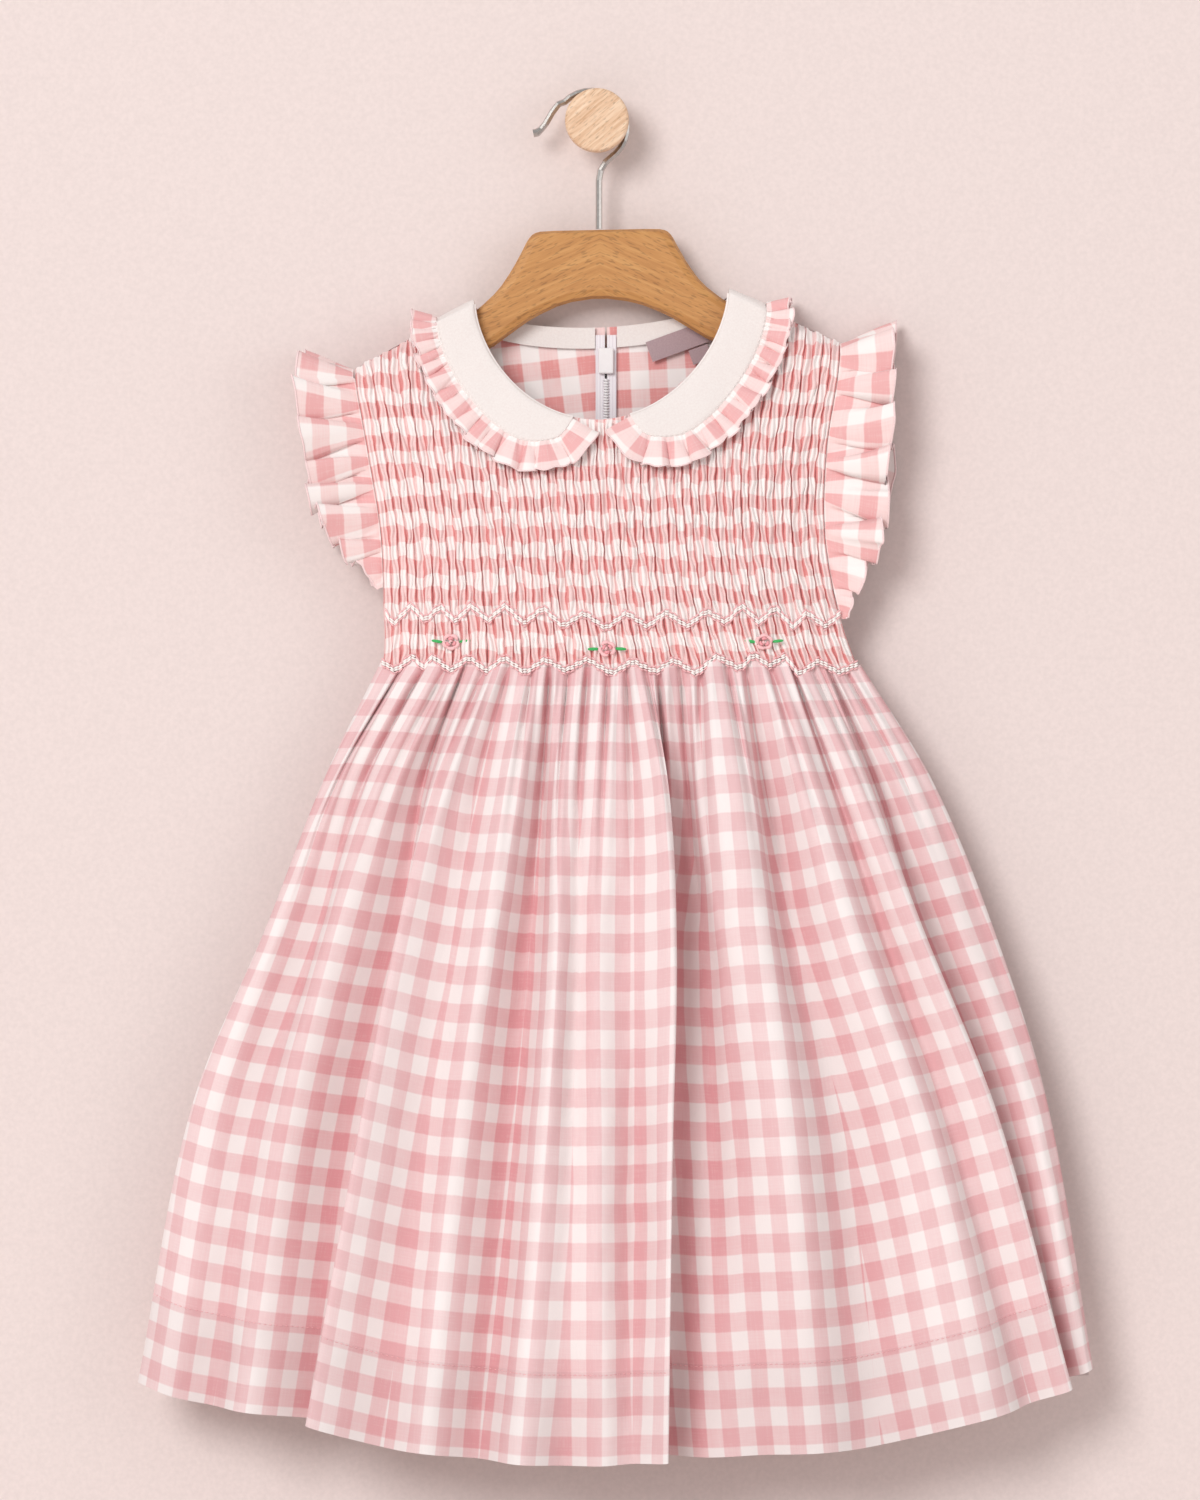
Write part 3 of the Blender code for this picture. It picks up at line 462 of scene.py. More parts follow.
def grained_wood(name, codes, grain, turn, mirror_x, roughness, pores):
    """Sawn and sanded wood. The grain runs along X turned by turn, mirrored about mirror_x."""
    made, shader = start_material(name)
    shader.inputs["Roughness"].default_value = roughness
    shader.inputs["IOR"].default_value = 1.5
    shader.inputs["Coat Weight"].default_value = 0.06
    shader.inputs["Coat Roughness"].default_value = 0.35
    place = add_node(made, "ShaderNodeTexCoord").outputs["Object"]
    split = add_node(made, "ShaderNodeSeparateXYZ", _0=place)
    off = add_node(made, "ShaderNodeMath", {"operation": "SUBTRACT", 1: mirror_x * MM}, _0=split.outputs[0])
    half = off
    if turn:
        half = add_node(made, "ShaderNodeMath", {"operation": "ABSOLUTE"}, _0=off.outputs[0])
    folded = add_node(
        made, "ShaderNodeCombineXYZ", _0=half.outputs[0], _1=split.outputs[1], _2=split.outputs[2]
    )
    turned = add_node(
        made, "ShaderNodeMapping", {"Rotation": (0.0, turn, 0.0)}, Vector=folded.outputs[0]
    )
    along = add_node(
        made, "ShaderNodeMapping", {"Scale": (0.07 / grain, 0.5 / grain, 1 / grain)},
        Vector=turned.outputs[0],
    )
    years = add_node(
        made, "ShaderNodeTexNoise", {"Scale": 1000.0, "Detail": 3.0, "Distortion": 0.4},
        Vector=along.outputs[0],
    )
    fine = add_node(
        made, "ShaderNodeTexNoise", {"Scale": 1000.0 * pores, "Detail": 2.0}, Vector=along.outputs[0]
    )
    mixed = add_node(
        made, "ShaderNodeMath", {"operation": "MULTIPLY_ADD", 1: 0.35}, _0=fine.outputs[0],
        _2=years.outputs[0],
    )
    colour = add_node(made, "ShaderNodeValToRGB", _0=mixed.outputs[0])
    ramp = colour.color_ramp
    ramp.elements[0].position, ramp.elements[0].color = 0.45, linear(codes[0])
    ramp.elements[1].position, ramp.elements[1].color = 0.92, linear(codes[2])
    middle = ramp.elements.new(0.68)
    middle.color = linear(codes[1])
    short = add_node(
        made, "ShaderNodeMapping", {"Scale": (0.34 / grain, 1 / grain, 2.0 / grain)},
        Vector=turned.outputs[0],
    )
    rays = add_node(made, "ShaderNodeTexNoise", {"Scale": 1000.0 * 1.6, "Detail": 0.0}, Vector=short.outputs[0])
    fleck = add_node(
        made, "ShaderNodeMapRange", {1: 0.62, 2: 0.72, 3: 1.0, 4: 0.72, "clamp": True}, _0=rays.outputs[0]
    )
    flecked = add_node(
        made, "ShaderNodeHueSaturation", Color=colour.outputs[0], Value=fleck.outputs[0]
    )
    bump = add_node(
        made, "ShaderNodeBump", {"Strength": 0.12, "Distance": 0.15 * MM}, Height=fine.outputs[0]
    )
    return finish_surface(made, shader, flecked.outputs[0], bump.outputs[0])


def drawn_steel():
    """Bright drawn steel wire: smooth, with faint lines along it."""
    made, shader = start_material("hook_steel_wire_drawn")
    shader.inputs["Metallic"].default_value = 1.0
    shader.inputs["Roughness"].default_value = 0.24
    place = add_node(made, "ShaderNodeTexCoord").outputs["Object"]
    noise = add_node(made, "ShaderNodeTexNoise", {"Scale": 1 / (1.5 * MM), "Detail": 2.0}, Vector=place)
    colour = add_node(
        made, "ShaderNodeMix", {"data_type": "RGBA", 6: linear("#A9A5A2"), 7: linear("#CBC7C3")},
        _0=noise.outputs[0],
    )
    return finish_surface(made, shader, colour.outputs[2])


def painted_wall(name, code):
    """Matt emulsion on plaster: flat colour with a faint roller texture."""
    made, shader = start_material(name)
    shader.inputs["Roughness"].default_value = 0.95
    shader.inputs["Specular IOR Level"].default_value = 0.1
    place = add_node(made, "ShaderNodeTexCoord").outputs["Object"]
    noise = add_node(made, "ShaderNodeTexNoise", {"Scale": 1 / (2.2 * MM), "Detail": 3.0}, Vector=place)
    shade = add_node(
        made, "ShaderNodeHueSaturation", {"Color": linear(code)},
        Value=add_node(
            made, "ShaderNodeMapRange", {1: 0.3, 2: 0.7, 3: 0.965, 4: 1.03}, _0=noise.outputs[0]
        ).outputs[0],
    )
    return finish_surface(made, shader, shade.outputs[0])


def new_object(name, mesh, material, replaced=()):
    """Puts a piece on the dress's body and the nodes it stands for."""
    made = bpy.data.objects.new(name, mesh)
    bpy.context.scene.collection.objects.link(made)
    mesh.materials.append(material)
    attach(made, "dress")
    if replaced:
        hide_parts(*replaced)
    return made


def grid_faces(rows, columns):
    index = np.arange(rows * columns).reshape(rows, columns)
    corners = (index[:-1, :-1], index[1:, :-1], index[1:, 1:], index[:-1, 1:])
    return np.stack(corners, -1).reshape(-1, 4)


def on_corners(values):
    """A value for each corner of each face, from a grid of values."""
    return np.stack((values[:-1, :-1], values[1:, :-1], values[1:, 1:], values[:-1, 1:]), 2)


def cloth_sheet(name, grid, cloth, material, replaced=()):
    """A thin sheet through a grid of points, with the place on the flat cloth, in mm."""
    grid = np.asarray(grid, float)
    mesh = bpy.data.meshes.new(name)
    faces = grid_faces(*grid.shape[:2])
    mesh.from_pydata((grid.reshape(-1, 3) * MM).tolist(), [], faces.tolist())
    cloth = np.asarray(cloth, float)
    if cloth.ndim == 3:
        cloth = on_corners(cloth)
    mesh.uv_layers.new(name="cloth_mm").data.foreach_set("uv", cloth.ravel())
    mesh.shade_smooth()
    mesh.validate()
    return new_object(name, mesh, material, replaced)


def lengths_along(grid, axis):
    """Distance along the rows (axis 1) or down the columns (axis 0) of a grid, from its start."""
    steps = np.linalg.norm(np.diff(grid, axis=axis), axis=2)
    pad = [(0, 0), (0, 0)]
    pad[axis] = (1, 0)
    return np.pad(np.cumsum(steps, axis=axis), pad)


def join_shapes(name, shapes, material):
    """Many small shapes as one mesh, from lists of points and faces."""
    points, faces, start = [], [], 0
    for shape_points, shape_faces in shapes:
        points.append(np.asarray(shape_points, float))
        faces.append(np.asarray(shape_faces) + start)
        start += len(shape_points)
    mesh = bpy.data.meshes.new(name)
    mesh.from_pydata((np.concatenate(points) * MM).tolist(), [], np.concatenate(faces).tolist())
    mesh.shade_smooth()
    return new_object(name, mesh, material)


def stitch(start, end, radius, bow=0.0, around=6, along=5):
    """A plump thread from start to end, thickest in its middle, raised by bow towards -Y."""
    start, end = np.asarray(start, float), np.asarray(end, float)
    axis = (end - start) / np.linalg.norm(end - start)
    out = np.array([0.0, -1.0, 0.0])
    side = np.cross(axis, out)
    side /= np.linalg.norm(side)
    out = np.cross(side, axis)
    points, faces = [], []
    for i in range(along + 1):
        t = i / along
        thick = radius * (0.35 + 0.65 * math.sin(math.pi * t) ** 0.6)
        middle = start + (end - start) * t + np.array([0.0, -bow * math.sin(math.pi * t), 0.0])
        for k in range(around):
            angle = 2 * math.pi * k / around
            points.append(middle + thick * (math.cos(angle) * side + math.sin(angle) * out))
    for i in range(along):
        for k in range(around):
            a, b = i * around + k, i * around + (k + 1) % around
            faces.append((a, b, b + around, a + around))
    for ring, turn in ((0, -1), (along * around, 1)):
        middle = len(points)
        points.append(np.mean(points[ring : ring + around], axis=0))
        for k in range(0, around, 2):
            a, b, c = (ring + (k + n) % around for n in range(3))
            faces.append((middle, a, b, c)[::turn])
    return points, faces


def tube(route, radius, around=6):
    """A round cord along a route of points, open at its ends."""
    route = np.asarray(route, float)
    ahead = np.gradient(route, axis=0)
    ahead /= np.linalg.norm(ahead, axis=1)[:, None]
    side = np.cross(ahead, [0.13, -0.97, 0.2])
    side /= np.linalg.norm(side, axis=1)[:, None]
    out = np.cross(side, ahead)
    angles = 2 * math.pi * np.arange(around) / around
    ring = np.cos(angles)[None, :, None] * side[:, None] + np.sin(angles)[None, :, None] * out[:, None]
    points = (route[:, None] + radius * ring).reshape(-1, 3)
    index = np.arange(len(route) * around).reshape(len(route), around)
    beside = np.roll(index, -1, axis=1)
    faces = np.stack((index[:-1], beside[:-1], beside[1:], index[1:]), -1).reshape(-1, 4)
    return points, faces


def row_height(row, x):
    """Height of a trellis row at x."""
    return np.interp(x, [p[0] for p in row], [p[1] for p in row])


def smocked_surface(u, v):
    """(point, outwards, pleat phase) of the smocked front's ground at u across and v down."""
    tip = section(SHOULDER_TIP)
    start = blend(tip[0], tip[1], u)
    top = top_edge(start, FRONT_DROP)
    waist = section(WAIST)
    bottom = row_height(LOWER_ROW, blend(waist[0], waist[1], u)) - 0.5
    z = blend(top, bottom, v)
    left, right = section(z)[:2]
    x = blend(left, right, u)
    y = front_y(x, z)
    # Over the hanger's arms the cloth rolls back to the shoulder seam
    on_arm = np.clip((np.abs(start - NECK_X) / NECK_HALF - 1) / 0.03, 0, 1)
    down = top - z
    roll = on_arm * np.clip(1 - down / 9.0, 0, 1)
    y = blend(y, SEAM_Y - GAP / 2, roll**2.2)
    out_y = -np.cos(roll * math.pi / 2)
    out_z = np.sin(roll * math.pi / 2)
    return x, y, z, out_y, out_z


def smocked_bodice(gingham):
    """The smocked front: pleats that wander, pinched together in rows, over the cut of the front."""
    columns, rows = PLEATS * PLEAT_COLUMNS, SMOCK_LINES
    u, v = np.meshgrid(np.arange(columns + 1) / columns, np.arange(rows + 1) / rows)
    x, y, z, out_y, out_z = smocked_surface(u, v)
    pleat = np.minimum(np.floor(u * PLEATS), PLEATS - 1)
    phase = u * PLEATS - pleat
    wide = (section(z)[1] - section(z)[0]) / PLEATS
    row = z / SMOCK_ROW
    inside = np.clip(np.minimum(u, 1 - u) * PLEATS, 0, 1)
    # Neighbouring ridges lean together in one row and apart in the next
    pinch = np.cos(math.pi * pleat) * np.cos(math.pi * row + 0.8 * uneven(pleat // 2, 3.0))
    sway = 0.42 * soft_noise(x, z, 4, 17.0) + 0.34 * soft_noise(x, z, 9, 7.0)
    lean = (0.62 * pinch * np.sin(math.pi * phase) ** 1.2 + 0.6 * sway) * inside
    # A pleat is a full ridge and a slight one, with a deep valley on each side of the pair
    split = 0.60 + 0.07 * uneven(pleat, 2.0) + 0.05 * soft_noise(pleat * 11.0, z, 8, 20.0)
    full = np.maximum(1 - ((phase - split / 2) / (split / 2)) ** 2, 0) ** 0.8
    slight = np.maximum(1 - ((phase - (1 + split) / 2) / ((1 - split) / 2)) ** 2, 0) ** 0.8
    low = 0.62 + 0.3 * uneven(pleat, 6.0) + 0.2 * soft_noise(pleat * 7.0, z, 12, 26.0)
    between_ridges = 0.34 * np.exp(-(((phase - split) / 0.09) ** 2))
    bulge = np.maximum(full, slight * np.clip(low, 0.3, 1.0)) + between_ridges
    fullness = 1 + 0.22 * uneven(pleat, 1.0) + 0.16 * soft_noise(pleat * 9.0, z, 6, 16.0)
    caught = 0.5 + 0.5 * np.cos(2 * math.pi * row)
    height = RIDGE * fullness * (0.84 + 0.16 * caught) * bulge - VALLEY * (1 - bulge)
    fade = np.clip(v * 30, 0.25, 1) * np.clip((1 - v) * 40, 0.5, 1)
    height = height * fade
    # The embroidery draws the ridges in
    for line in (UPPER_ROW, LOWER_ROW):
        held = np.exp(-(((z - row_height(line, x)) / 3.2) ** 2))
        height = height * (1 - 0.5 * held)
    # Each ridge has a soft dent where a thread holds it
    dent = np.exp(-(((row % 1.0) - 0.5) ** 2) / 0.006)
    height = height - 0.45 * dent * bulge * inside
    y = y + seam_closing(z, np.minimum(u, 1 - u), 0.006)
    points = np.stack((x + lean * wide / 4.3, y + out_y * height, z + out_z * height), -1)
    shift = 2.7 * uneven(pleat, 8.0)
    down = (WAIST - z) / SMOCK_SHRINK + shift + 1.7 * soft_noise(x, z, 2, 19.0)
    # The crowded valleys hide most of the pink stripe
    off = 2 * phase - 1
    warp = (pleat + 1 + 0.5 * np.sign(off) * np.abs(off) ** 1.7) * 2 * CHECK
    return cloth_sheet(
        "bodice_smocked", points, np.stack((warp, -down), -1), gingham, ("front_smocked",)
    )


def set_painted_fold_shade(made, low):
    """Stores how deep in a fold each point of a sheet lies, from 0 to 1, as the amount of painted fold shade on
    its cloth.
    """
    made.data.attributes.new("painted_fold_shade", "FLOAT", "POINT").data.foreach_set("value", low.ravel())


def fold_line(places, v):
    """x, how far out and the hem height of the front skirt's folds at places along the table."""
    levels = []
    for row in FRONT_FOLDS:
        x = between(list(zip(FOLD_LEVELS, row[ACROSS])), v)[0]
        out = between(((0, 0), (FOLD_LEVELS[1], row[OUT_HIP]), (1, row[OUT_HEM])), v)[0]
        levels.append((x, out, row[HEM]))
    table = np.array(levels)
    k = np.minimum(np.floor(places).astype(int), len(table) - 2)
    t = (places - k)[:, None]
    a, b, c, d = [table[np.clip(k + n, 0, len(table) - 1)] for n in (-1, 0, 1, 2)]
    value = 0.5 * (
        2 * b + (c - a) * t + (2 * a - 5 * b + 4 * c - d) * t**2 + (3 * b - a - 3 * c + d) * t**3
    )
    return value.T


def skirt_front(gingham):
    """The front below the smocking: gathers that open into the folds of the table."""
    steps, rows = SKIRT_STEPS, 130
    spans = len(FRONT_FOLDS) - 1
    places = np.arange(spans * steps + 1) / steps
    v = (np.arange(rows + 1) / rows) ** 1.25
    x, out, hem = np.stack([fold_line(places, part) for part in v], 1)
    down = v[:, None]
    top = row_height(LOWER_ROW, x[0])[None, :] - 0.8
    z = blend(top, hem, down)
    k = np.minimum(np.floor(places), spans - 1)[None, :]
    t = places[None, :] - k
    # Gathers: one round pleat to each span at the seam, with a small one on its shoulder
    fade = np.clip(1 - down / 0.34, 0, 1) ** 1.3
    size = 1 + 0.35 * uneven(k, 2.0)
    round_pleat = np.sin(math.pi * t) ** 1.15 * size
    small = 0.28 * np.sin(3 * math.pi * t + uneven(k, 5.0)) * np.sin(math.pi * t)
    gather = 10.0 * fade * (round_pleat + small - 0.5)
    creases = 2.8 * soft_noise(places[None, :] * 16, z * 0.08, 3, 26.0) * np.clip(down * 4, 0, 1)
    creases = creases + 0.35 * soft_noise(places[None, :] * 16, z * 0.35, 7, 12.0)
    edge = np.clip(np.minimum(places, spans - places) / 0.6, 0, 1)[None, :]
    gather = gather * blend(0.3, 1, np.clip(down / 0.03, 0, 1))
    y = front_y(x, z) - FOLD_DEPTH * out - (gather + creases) * edge
    y = y + seam_closing(z, np.minimum(places, spans - places)[None, :], 0.15)
    points = np.stack((x, y, z), -1)
    made = cloth_sheet(
        "skirt_front", points, skirt_cloth(points, places, steps, fade), gingham,
        ("front_skirt",),
    )
    # How deep in a fold each point lies, for the painted fold shade: darker and pinker in the hollows of folds
    # and gathers
    low = np.clip(0.42 - out / 15.0 - 0.1 * creases, 0, 1)
    low = blend(low, np.clip(0.75 - round_pleat, 0, 1), np.minimum(fade, 0.8))
    set_painted_fold_shade(made, low)
    return made


CREST_ROWS = (1, 3, 5, 7, 9, 11, 13, 17, 19, 21, 23)
BREAKS = (0, 2, 4, 6, 8, 10, 12, 14, 18, 20, 22, 24)


def skirt_cloth(points, places, steps, fade):
    """The place on the flat cloth: the checks run down with the folds, and what a fold hides is skipped."""
    along = lengths_along(points, 1)
    flat = along[-1]
    down = lengths_along(points, 0)
    faces_at = (places[:-1] + places[1:]) / 2
    by_fold = np.searchsorted(BREAKS, faces_at, side="right") - 1
    crest = np.array([CREST_ROWS[min(b, len(CREST_ROWS) - 1)] for b in by_fold]) * steps
    middle = (np.floor(faces_at).astype(int) * steps) + steps // 2
    values = []
    for home in (crest, middle):
        home = np.asarray(home, int)
        reach = [along[:, 1:] - along[:, home], along[:, :-1] - along[:, home]]
        values.append([flat[home][None, :] + (1.12 + 0.5 * fade) * part for part in (reach[1], reach[0])])
    left, right = [blend(values[0][side], values[1][side], fade) for side in (0, 1)]
    corners = np.empty((len(points) - 1, len(faces_at), 4, 2))
    corners[:, :, 0, 0], corners[:, :, 1, 0] = left[:-1], left[1:]
    corners[:, :, 2, 0], corners[:, :, 3, 0] = right[1:], right[:-1]
    sunk = points[0, :, 2].max() - points[:1, :, 2]
    height = ((down + sunk) / (down[-1:, :] + sunk) - 1) * down[-1].mean()
    corners[..., 1] = on_corners(height)
    return corners


def skirt_back(gingham):
    """The back below the waist: even gathers that open into soft folds."""
    columns, rows = 288, 90
    u, v = np.meshgrid(np.arange(columns + 1) / columns, np.arange(rows + 1) / rows)
    hem = BACK_HEM_SIDE - BACK_HEM_DIP * np.sin(math.pi * u)
    z = blend(WAIST - GAP, hem, v)
    left, right = section(z)[:2]
    x = blend(left, right, u + 0.006 * v * np.sin(6 * math.pi * u))
    phase = 2 * math.pi * BACK_FOLDS * u + 0.7 * np.sin(4 * math.pi * u)
    side = np.sin(math.pi * u)
    depth = BACK_FOLD_HEM * side**0.5 * np.minimum(v * 2, 1)
    fade = np.clip(1 - v / 0.3, 0, 1) ** 1.5
    gathers = 4.6 * fade * np.sin(math.pi * 24 * u) ** 2 * (1 + 0.3 * uneven(np.floor(24 * u), 2.0))
    creases = 0.7 * soft_noise(u * 380, z * 0.12, 5, 34.0) * np.clip(side * 4, 0, 1)
    y = back_y(x, z) - depth * (0.5 + 0.5 * np.sin(phase)) + (gathers + creases) * np.clip(side * 8, 0, 1)
    y = y - seam_closing(z, np.minimum(u, 1 - u), 0.006)
    points = np.stack((x, y, z), -1)
    along = lengths_along(points, 1)
    cloth = np.stack((np.broadcast_to(along[-1], u.shape) * 1.0, lengths_along(points, 0)), -1)
    cloth[..., 1] -= cloth[-1:, :, 1]
    made = cloth_sheet("skirt_back", points, cloth, gingham, ("back_skirt",))
    # Painted fold shade: darker and pinker deeper in each back fold
    set_painted_fold_shade(made, np.clip(0.55 - 0.4 * np.sin(phase) * side, 0, 1))
    return made


def bodice_back(name, side, gingham, node):
    """Half of the plain back above the waist, from the side seam to the zip."""
    columns, rows = 60, 90
    centre = ZIP_X + side * 0.6
    tip = section(SHOULDER_TIP)[0 if side < 0 else 1]
    u, v = np.meshgrid(np.arange(columns + 1) / columns, np.arange(rows + 1) / rows)
    start = blend(tip, centre, u)
    top = top_edge(start, BACK_DROP)
    z = blend(top, WAIST, v)
    edge = section(z)[0 if side < 0 else 1]
    x = blend(edge, centre, u)
    y = back_y(x, z)
    on_arm = np.clip((np.abs(start - NECK_X) / NECK_HALF - 1) / 0.03, 0, 1)
    roll = on_arm * np.clip(1 - (top - z) / 9.0, 0, 1)
    y = blend(y, SEAM_Y + GAP / 2, roll**2.2)
    flat = np.clip(np.minimum(u, 1 - u) * 8, 0, 1) * np.clip(np.minimum(v, 1 - v) * 8, 0, 1)
    y = y + flat * (0.5 * soft_noise(x, z, 3, 46.0) + 0.25 * soft_noise(x, z, 11, 18.0))
    y = y - CLOTH * 0.5 * (1 - roll) * np.clip(u * 30, 0, 1) - seam_closing(z, u, 0.03)
    points = np.stack((x, y, z), -1)
    lean = 0.12 if side < 0 else 0.05
    cloth = np.stack((x - ZIP_X + 3.0 + lean * (z + 100.0), z - lean * (x - ZIP_X)), -1)
    return cloth_sheet(name, points, cloth, gingham, (node,))


def collar_station(side, q):
    """The neck seam at q: its point, the direction outwards and the collar's width."""
    if q <= 1:
        around = blend(COLLAR_WIDTHS[0][0], 90, q)
        outwards = min(around - 90, -26)
        drop, widths = FRONT_DROP, COLLAR_WIDTHS
    elif q < 2:
        around, outwards = 90, -26
        drop, widths = 0, COLLAR_WIDTHS
    else:
        around = blend(90, BACK_COLLAR_WIDTHS[-1][0], q - 2)
        turn = min((90 - around) / 50, 1)
        outwards = blend(-26, -88, turn * turn * (3 - 2 * turn))
        drop, widths = BACK_DROP, BACK_COLLAR_WIDTHS
    x = NECK_X + side * NECK_HALF * math.sin(math.radians(around))
    angle = math.radians(outwards)
    width = max(between(widths, around)[0], 0.5)
    return x, float(top_edge(x, drop)), side * math.cos(angle), math.sin(angle), width


def on_garment(x, z, q, lift):
    """A point that stands off the front, the shoulder or the back of the dress."""
    if q <= 1:
        return Vector((x, front_y(x, z) - COLLAR_LIFT - lift, z))
    if q >= 2:
        return Vector((x, back_y(x, z) + 2 * GAP + lift, z))
    turn = math.pi * (q - 1)
    stand = blend(COLLAR_LIFT, 2 * GAP, q - 1) + lift
    y = SEAM_Y + 0.75 - (9.75 + stand) * math.cos(turn)
    return Vector((x, y, z + stand * math.sin(turn)))


def collar_point(side, q, part, lift):
    x, z, out_x, out_z, width = collar_station(side, q)
    x += out_x * width * part
    z = float(top_edge(x, 0)) if 1 < q < 2 else z + out_z * width * part
    return on_garment(x, z, q, lift)


def lift_towards(q):
    turn = math.pi * min(max(q - 1, 0), 1)
    return Vector((0, -math.cos(turn), math.sin(turn)))


def collar(name, side, white, node):
    """One white half: pressed flat, rolled softly at the neck and turned in at its outer seam."""
    stations = np.concatenate((np.linspace(0, 1, 70), np.linspace(1, 2, 24)[1:], np.linspace(2, 3, 40)[1:]))
    parts = ((0.0, -1.3), (0.0, 0.1), (0.012, 0.8), (0.05, 1.25), (0.14, 1.45), (0.3, 1.45),
             (0.5, 1.4), (0.7, 1.35), (0.86, 1.3), (0.95, 1.15), (0.985, 0.8), (1.0, 0.1))
    grid = []
    for part, lift in parts:
        line = []
        for q in stations:
            soft = 0.35 * float(soft_noise(q * 70.0, part * 20.0, 5 + side, 24.0)) if 0.03 < part < 0.97 else 0
            line.append(tuple(collar_point(side, float(q), part, lift + soft)))
        grid.append(line)
    grid = np.array(grid)
    cloth = np.stack((lengths_along(grid, 1), lengths_along(grid, 0)), -1)
    return cloth_sheet(name, grid, cloth, white, (node,))


def ruffle_place(part):
    """q along the collar's edge, where the short roll over the shoulder has few waves."""
    if part < 0.58:
        return part / 0.58
    if part < 0.66:
        return 1 + (part - 0.58) / 0.08
    return 2 + (part - 0.66) / 0.34


def wave_table(count, seed):
    """Where each wave of a ruffle ends and how deep it is: no two alike."""
    widths = np.array([1 + 0.5 * uneven(k, seed) for k in range(count)])
    ends = np.concatenate(([0], np.cumsum(widths))) / widths.sum()
    depths = np.array([1 + 0.3 * uneven(k, seed + 4) for k in range(count)])
    return ends, depths


def wave_at(part, table):
    """Depth, number and sideways swing of a ruffle's wave at this part of its length."""
    ends, depths = table
    k = min(int(np.searchsorted(ends, part, side="right")) - 1, len(depths) - 1)
    t = (part - ends[k]) / (ends[k + 1] - ends[k])
    lean = t + 0.06 * math.sin(2 * math.pi * t + k)
    return depths[k] * (0.5 - 0.5 * math.cos(2 * math.pi * lean)), k, math.sin(2 * math.pi * lean)


def collar_ruffle(name, side, gingham, node):
    """The gathered strip in the seam of the collar's edge, with a rolled hem."""
    columns = COLLAR_WAVES * 14
    waves = wave_table(COLLAR_WAVES, 2 + side)
    parts = (0.0, 0.08, 0.22, 0.4, 0.58, 0.75, 0.9, 1.0)
    grid = [[] for _ in parts]
    for j in range(columns + 1):
        q = ruffle_place(j / columns)
        edge = collar_point(side, q, 1, COLLAR / 2)
        ahead = collar_point(side, min(q + 0.01, 3), 1, COLLAR / 2)
        behind = collar_point(side, max(q - 0.01, 0), 1, COLLAR / 2)
        towards = lift_towards(q)
        out = (ahead - behind).cross(towards).normalized() * side
        run = (ahead - behind).normalized()
        depth, k, swing = wave_at(j / columns, waves)
        for line, part in zip(grid, parts):
            width = between(COLLAR_RUFFLES, q)[0] + 1.2 * uneven(k, side + 1.0)
            reach = -0.4 + width * part + 0.5 * part * math.sin(j * 0.9)
            curl = -2.9 * part * swing + 0.5 * part * math.sin(j * 0.37)
            x = edge.x + out.x * reach + run.x * curl
            z = edge.z + out.z * reach + run.z * curl
            stand = 0.5 + 4.4 * depth * (0.22 + 0.78 * part) * min(part * 6 + 0.25, 1)
            stand += 0.45 * math.sin(j * 2 * math.pi / 5) * math.exp(-((part - 0.15) / 0.2) ** 2)
            if 1 < q < 2:
                level = edge.z - collar_point(side, q, 1, 0).z
                point = on_garment(x, z - level, q, stand)
                point.z += level * 0.5
            else:
                point = on_garment(x, z, q, stand)
            line.append(tuple(point))
    grid = np.array(grid)
    along = lengths_along(grid, 1)[len(parts) // 2]
    cloth = np.stack((np.broadcast_to(along, grid.shape[:2]), lengths_along(grid, 0)), -1)
    cloth = cloth + np.array((3.0 + 6 * side, 2.0))
    piece = cloth_sheet(name, grid, cloth, gingham, (node,))
    return piece, grid[-1]


def armhole(side, s):
    """The armhole's edge from the front underarm (0) over the shoulder (1 to 2) to the back."""
    edge_column = 0 if side < 0 else 1
    tip_x = float(section(SHOULDER_TIP)[edge_column])
    tip_z = float(top_edge(tip_x, 0)) - 5.0
    if 1 < s < 2:
        turn = math.pi * (s - 1)
        y = SEAM_Y + 0.5 - 8.2 * math.cos(turn)
        return Vector((tip_x + side * 0.2, y, tip_z + 5.0 * math.sin(turn))), lift_towards(s)
    z = blend(UNDERARM[side], tip_z, s if s <= 1 else 3 - s)
    row = [float(value) for value in section(z)]
    y = row[3] + CLOTH * 0.6 if s <= 1 else row[4] - CLOTH * 0.6
    return Vector((row[edge_column] + side * 0.2, y, z)), lift_towards(s)


def arm_place(part):
    if part < 0.46:
        return part / 0.46
    if part < 0.54:
        return 1 + (part - 0.46) / 0.08
    return 2 + (part - 0.54) / 0.46


